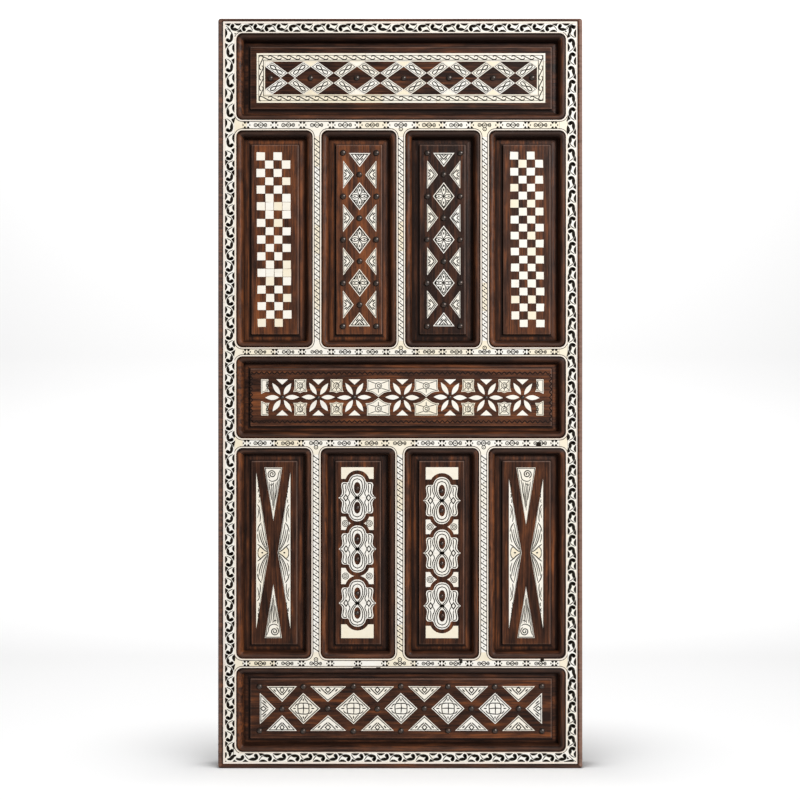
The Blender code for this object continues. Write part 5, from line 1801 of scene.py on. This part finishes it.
class DOOR_OT_cartouches(bpy.types.Operator):
    """Pierced figures of eight in the lower row's inner panels, with blocks and corner tiles"""

    bl_idname = "door.cartouches"
    bl_label = "Cartouches"

    def execute(self, context):
        """Blocks and corner tiles stop one strap's width short of the cartouches' lobes."""
        bench, ink, draw = Bench(), Bench(), chance(16)
        for name, (low, middle_row, high) in CARTOUCHE_PLACES.items():
            centre = inlay_centre(name)
            for rise in (low, middle_row, high):
                place = centre + (draw.uniform(-0.5, 0.5) * MM, rise * MM)
                lay_cartouche(bench, ink, place, draw.uniform(0.0, 0.2))
            foot_low, foot_high = BLOCK_FEET[name]
            for end, outer, foot in ((1, high, foot_high), (-1, low, foot_low)):
                block = block_outline(abs(outer) + LOBE_CENTRE, abs(foot))
                lay_tile(bench, placed(block, centre, 0, (MM, end * MM)), draw.uniform(0.35, 0.6))
                corner = corner_outline(abs(outer - middle_row) / 2)
                where = centre + (0, (outer + middle_row) / 2 * MM)
                for side in (1, -1):
                    tile = placed(corner, where, 0, (side * MM, MM))
                    lay_tile(bench, tile, draw.uniform(0.1, 0.3), True)
                    graver = Graver(ink, where, 0, (side, 1), 0.75)
                    graver.ring(RINGS_AT, 8.2)
                    graver.ring(RINGS_AT, 4.4, sides=10)
                    graver.dot(RINGS_AT, 1.5)
        bench.piece("cartouches", "Engraved bone")
        ink.piece("cartouche_engraving", "Black mastic")
        return {"FINISHED"}


# ---------------------------------------------------------------- nails
def nail_places():
    """Every nail's (x, z, share of the full width)."""
    places = []
    centre = inlay_centre("top")
    row = np.array([(i * TOP_BAY[0], 0.0) for i in range(-4, 5, 2)])
    row = np.vstack([drifted(row, *TOP_DRIFT), [(-346.5 * MM, 0), (348.5 * MM, 0)]])
    places.append(np.column_stack([row + centre, np.full(len(row), 0.95)]))
    for name in ("upper_2", "upper_3"):
        grid = crossings(1, 4, UPPER_BAY) + inlay_centre(name)
        places.append(np.column_stack([grid, np.ones(len(grid))]))
    grid = drifted(crossings(6, 1, BOTTOM_BAY), *BOTTOM_DRIFT) + inlay_centre("bottom")
    places.append(np.column_stack([grid, np.full(len(grid), 0.95)]))
    row = np.column_stack([flower_centres(), np.zeros(7)]) + inlay_centre("middle")
    places.append(np.column_stack([row, np.full(7, 0.66)]))
    for name in ("lower_2", "lower_3"):
        holes = np.array([(0, (rise + side * HOLE_CENTRE) * MM)
                          for rise in CARTOUCHE_PLACES[name] for side in (-1, 1)]) + inlay_centre(name)
        places.append(np.column_stack([holes, np.full(6, 0.72)]))
    return np.vstack(places)


class DOOR_OT_nails(bpy.types.Operator):
    """Domed iron nails at the lattices' crossings, in the flowers and in the cartouches"""

    bl_idname = "door.nails"
    bl_label = "Nails"

    def execute(self, context):
        """A dome: radius R cos(a) and height 0.72 R sin(a), for a from 0 to a right angle."""
        bench, draw = Bench(), chance(17)
        radius = context.scene.door_facing.nail_width / 2
        angle = np.radians([0, 16, 34, 52, 69, 83])
        around = np.radians(np.arange(0, 360, 30))
        for x, z, share in nail_places():
            size = radius * share * draw.uniform(0.95, 1.04)
            x, z = np.array([x, z]) + draw.uniform(-0.7, 0.7, 2) * MM
            rise = np.concatenate([[-0.4 * MM], 0.72 * size * np.sin(angle)])
            reach = np.concatenate([[size], size * np.cos(angle)])
            tilt = draw.uniform(-0.08, 0.08, 2)
            dx = reach[:, None] * np.cos(around) + (rise * tilt[0])[:, None]
            dz = reach[:, None] * np.sin(around) + (rise * tilt[1])[:, None]
            depth = np.broadcast_to(FIELD_DEPTH - rise[:, None], dx.shape)
            bench.skin(np.stack([x + dx, z + dz, depth], -1))
        bench.piece("nails", "Nail iron", smooth=60)
        return {"FINISHED"}


# the floor as (left, right), (front, where its bend starts), radius of the bend and height
FLOOR_WIDTH, FLOOR_RUN, FLOOR_BEND, WALL_TOP = (-7.0, 8.0), (-6.0, 1.0), 1.2, 6.0
CAMERA_SHIFT = (-0.7 * MM, -17.4 * MM)
# each lamp's place from the leaf's middle, the direction it points in, its size, and whether it
# lights the floor alone (INCLUDE) or all but the floor (EXCLUDE)
LAMPS = {"key": ((7.0, -8.4, 5.0), (-7.0, 8.4, -5.0), (4.4, 4.4), "EXCLUDE"),
         "fill": ((-0.8, -4.0, 0.6), (0.8, 4.0, -0.6), (3.2, 3.2), "EXCLUDE"),
         "overhead": ((0.0, -0.2, 5.2), (0.0, -0.2, -1.0), (1.4, 1.1), "INCLUDE"),
         "backdrop": ((0.0, -9.0, -1.1), (0.0, 0.98, 0.18), (6.0, 1.6), "INCLUDE"),
         "back": ((-1.6, 2.4, 1.9), (1.6, -2.4, -1.9), (1.6, 1.6), "EXCLUDE")}


def lay_floor():
    """The floor runs back and up in one sweep: z rises by r (1 - cos a) while y gains r sin a."""
    bend = np.radians(np.linspace(0, 90, 13))
    front, back = FLOOR_RUN
    y = np.concatenate([[front], back + FLOOR_BEND * np.sin(bend), [back + FLOOR_BEND]])
    z = np.concatenate([[0.0], FLOOR_BEND * (1 - np.cos(bend)), [WALL_TOP]]) + CAD_LOW[2]
    points = np.stack(np.broadcast_arrays(np.array(FLOOR_WIDTH)[None, :], y[:, None], z[:, None]), -1)
    index = np.arange(2 * len(y)).reshape(-1, 2)
    faces = np.stack([index[:-1, 0], index[:-1, 1], index[1:, 1], index[1:, 0]], -1)
    mesh = bpy.data.meshes.new("floor")
    mesh.from_pydata(points.reshape(-1, 3).tolist(), [], faces.tolist())
    mesh.shade_smooth()
    material, nodes, shader = new_material("Studio paper", Roughness=0.9)
    cloud = nodes.noise(nodes.add("ShaderNodeTexCoord").outputs["Object"], 3.0)
    nodes.tree.links.new(nodes.mix(nodes.math("MULTIPLY", cloud, 0.03), (0.93, 0.93, 0.93, 1),
                                   (0.88, 0.88, 0.88, 1)), shader.inputs["Base Color"])
    mesh.materials.append(material)
    floor = bpy.data.objects.new("floor", mesh)
    bpy.context.scene.collection.objects.link(floor)
    floor.visible_diffuse = False
    return floor


def hang_lamp(name, middle_x, floor):
    """One oval lamp of LAMPS, linked to the floor or kept off it."""
    place, aim, size, floor_is = LAMPS[name]
    lamp = bpy.data.lights.new(name, "AREA")
    lamp.shape, lamp.size, lamp.size_y = "ELLIPSE", *size
    lamp.energy = getattr(bpy.context.scene.door_stage, name)
    lamp.use_shadow = name != "backdrop"
    obj = bpy.data.objects.new(name, lamp)
    obj.location = (middle_x + place[0], *place[1:])
    obj.rotation_euler = (math.atan2(math.hypot(aim[0], aim[1]), -aim[2]), 0.0,
                          math.atan2(-aim[0], aim[1]))
    obj.visible_camera = False
    bpy.context.scene.collection.objects.link(obj)
    lit = bpy.data.collections.new(f"{name} on the floor")
    lit.objects.link(floor)
    lit.collection_objects[0].light_linking.link_state = floor_is
    obj.light_linking.receiver_collection = lit


class DOOR_OT_stage(bpy.types.Operator):
    """A pale floor and wall, soft light and the camera"""

    bl_idname = "door.stage"
    bl_label = "Stage"

    def execute(self, context):
        """The camera looks straight at the leaf, and a faint sky fills in for the five lamps."""
        settings = context.scene.door_stage
        floor = lay_floor()
        world = bpy.data.worlds.new("Studio")
        world.use_nodes = True
        sky = world.node_tree.nodes["Background"].inputs
        sky["Color"].default_value = (1, 1, 1, 1)
        sky["Strength"].default_value = settings.sky
        context.scene.world = world
        context.scene.view_settings.view_transform = "Standard"
        middle_x = (CAD_LOW[0] + CAD_HIGH[0]) / 2
        for name in LAMPS:
            hang_lamp(name, middle_x, floor)

        camera = bpy.data.cameras.new("camera")
        camera.lens, camera.sensor_width = settings.lens, 36.0
        camera.clip_start, camera.clip_end = 0.05, 50.0
        obj = bpy.data.objects.new("camera", camera)
        obj.location = (middle_x + CAMERA_SHIFT[0], CAD_LOW[1] - settings.distance, CAMERA_SHIFT[1])
        obj.rotation_euler = (math.radians(90), 0.0, 0.0)
        context.scene.collection.objects.link(obj)
        context.scene.camera = obj
        return {"FINISHED"}


OPERATORS = (DOOR_OT_frame_timber, DOOR_OT_edge_bead, DOOR_OT_panels, DOOR_OT_mouldings,
             DOOR_OT_border_plates, DOOR_OT_border_scroll, DOOR_OT_rail_facing,
             DOOR_OT_muntin_facing, DOOR_OT_dark_lines, DOOR_OT_top_lattice, DOOR_OT_checkers,
             DOOR_OT_lozenges, DOOR_OT_flowers, DOOR_OT_wedges, DOOR_OT_cartouches, DOOR_OT_nails,
             DOOR_OT_stage)


class DOOR_PT_leaf(bpy.types.Panel):
    """Lists the leaf's pieces and settings"""

    bl_label = "Bone-inlaid door leaf"
    bl_idname = "DOOR_PT_leaf"
    bl_space_type = "VIEW_3D"
    bl_region_type = "UI"
    bl_category = "Door leaf"

    def draw(self, context):
        """One button for each operator, then the settings."""
        for operator in OPERATORS:
            self.layout.operator(operator.bl_idname)
        for settings in (context.scene.door_finishes, context.scene.door_facing,
                         context.scene.door_stage):
            box = self.layout.box()
            for name in settings.bl_rna.properties.keys():
                if name not in ("rna_type", "name"):
                    box.prop(settings, name)


CLASSES = (DoorFinishes, DoorFacing, DoorStage, *OPERATORS, DOOR_PT_leaf)


def register():
    """Registers the classes and keeps the settings on the scene."""
    for item_class in CLASSES:
        bpy.utils.register_class(item_class)
    bpy.types.Scene.door_finishes = PointerProperty(type=DoorFinishes)
    bpy.types.Scene.door_facing = PointerProperty(type=DoorFacing)
    bpy.types.Scene.door_stage = PointerProperty(type=DoorStage)


def unregister():
    """Takes the settings and the classes away again."""
    del bpy.types.Scene.door_finishes
    del bpy.types.Scene.door_facing
    del bpy.types.Scene.door_stage
    for item_class in reversed(CLASSES):
        bpy.utils.unregister_class(item_class)


def main():
    """Builds every piece in order."""
    register()
    for operator in OPERATORS:
        family, name = operator.bl_idname.split(".")
        getattr(getattr(bpy.ops, family), name)()
    bpy.context.view_layer.update()


if __name__ == "__main__":
    main()
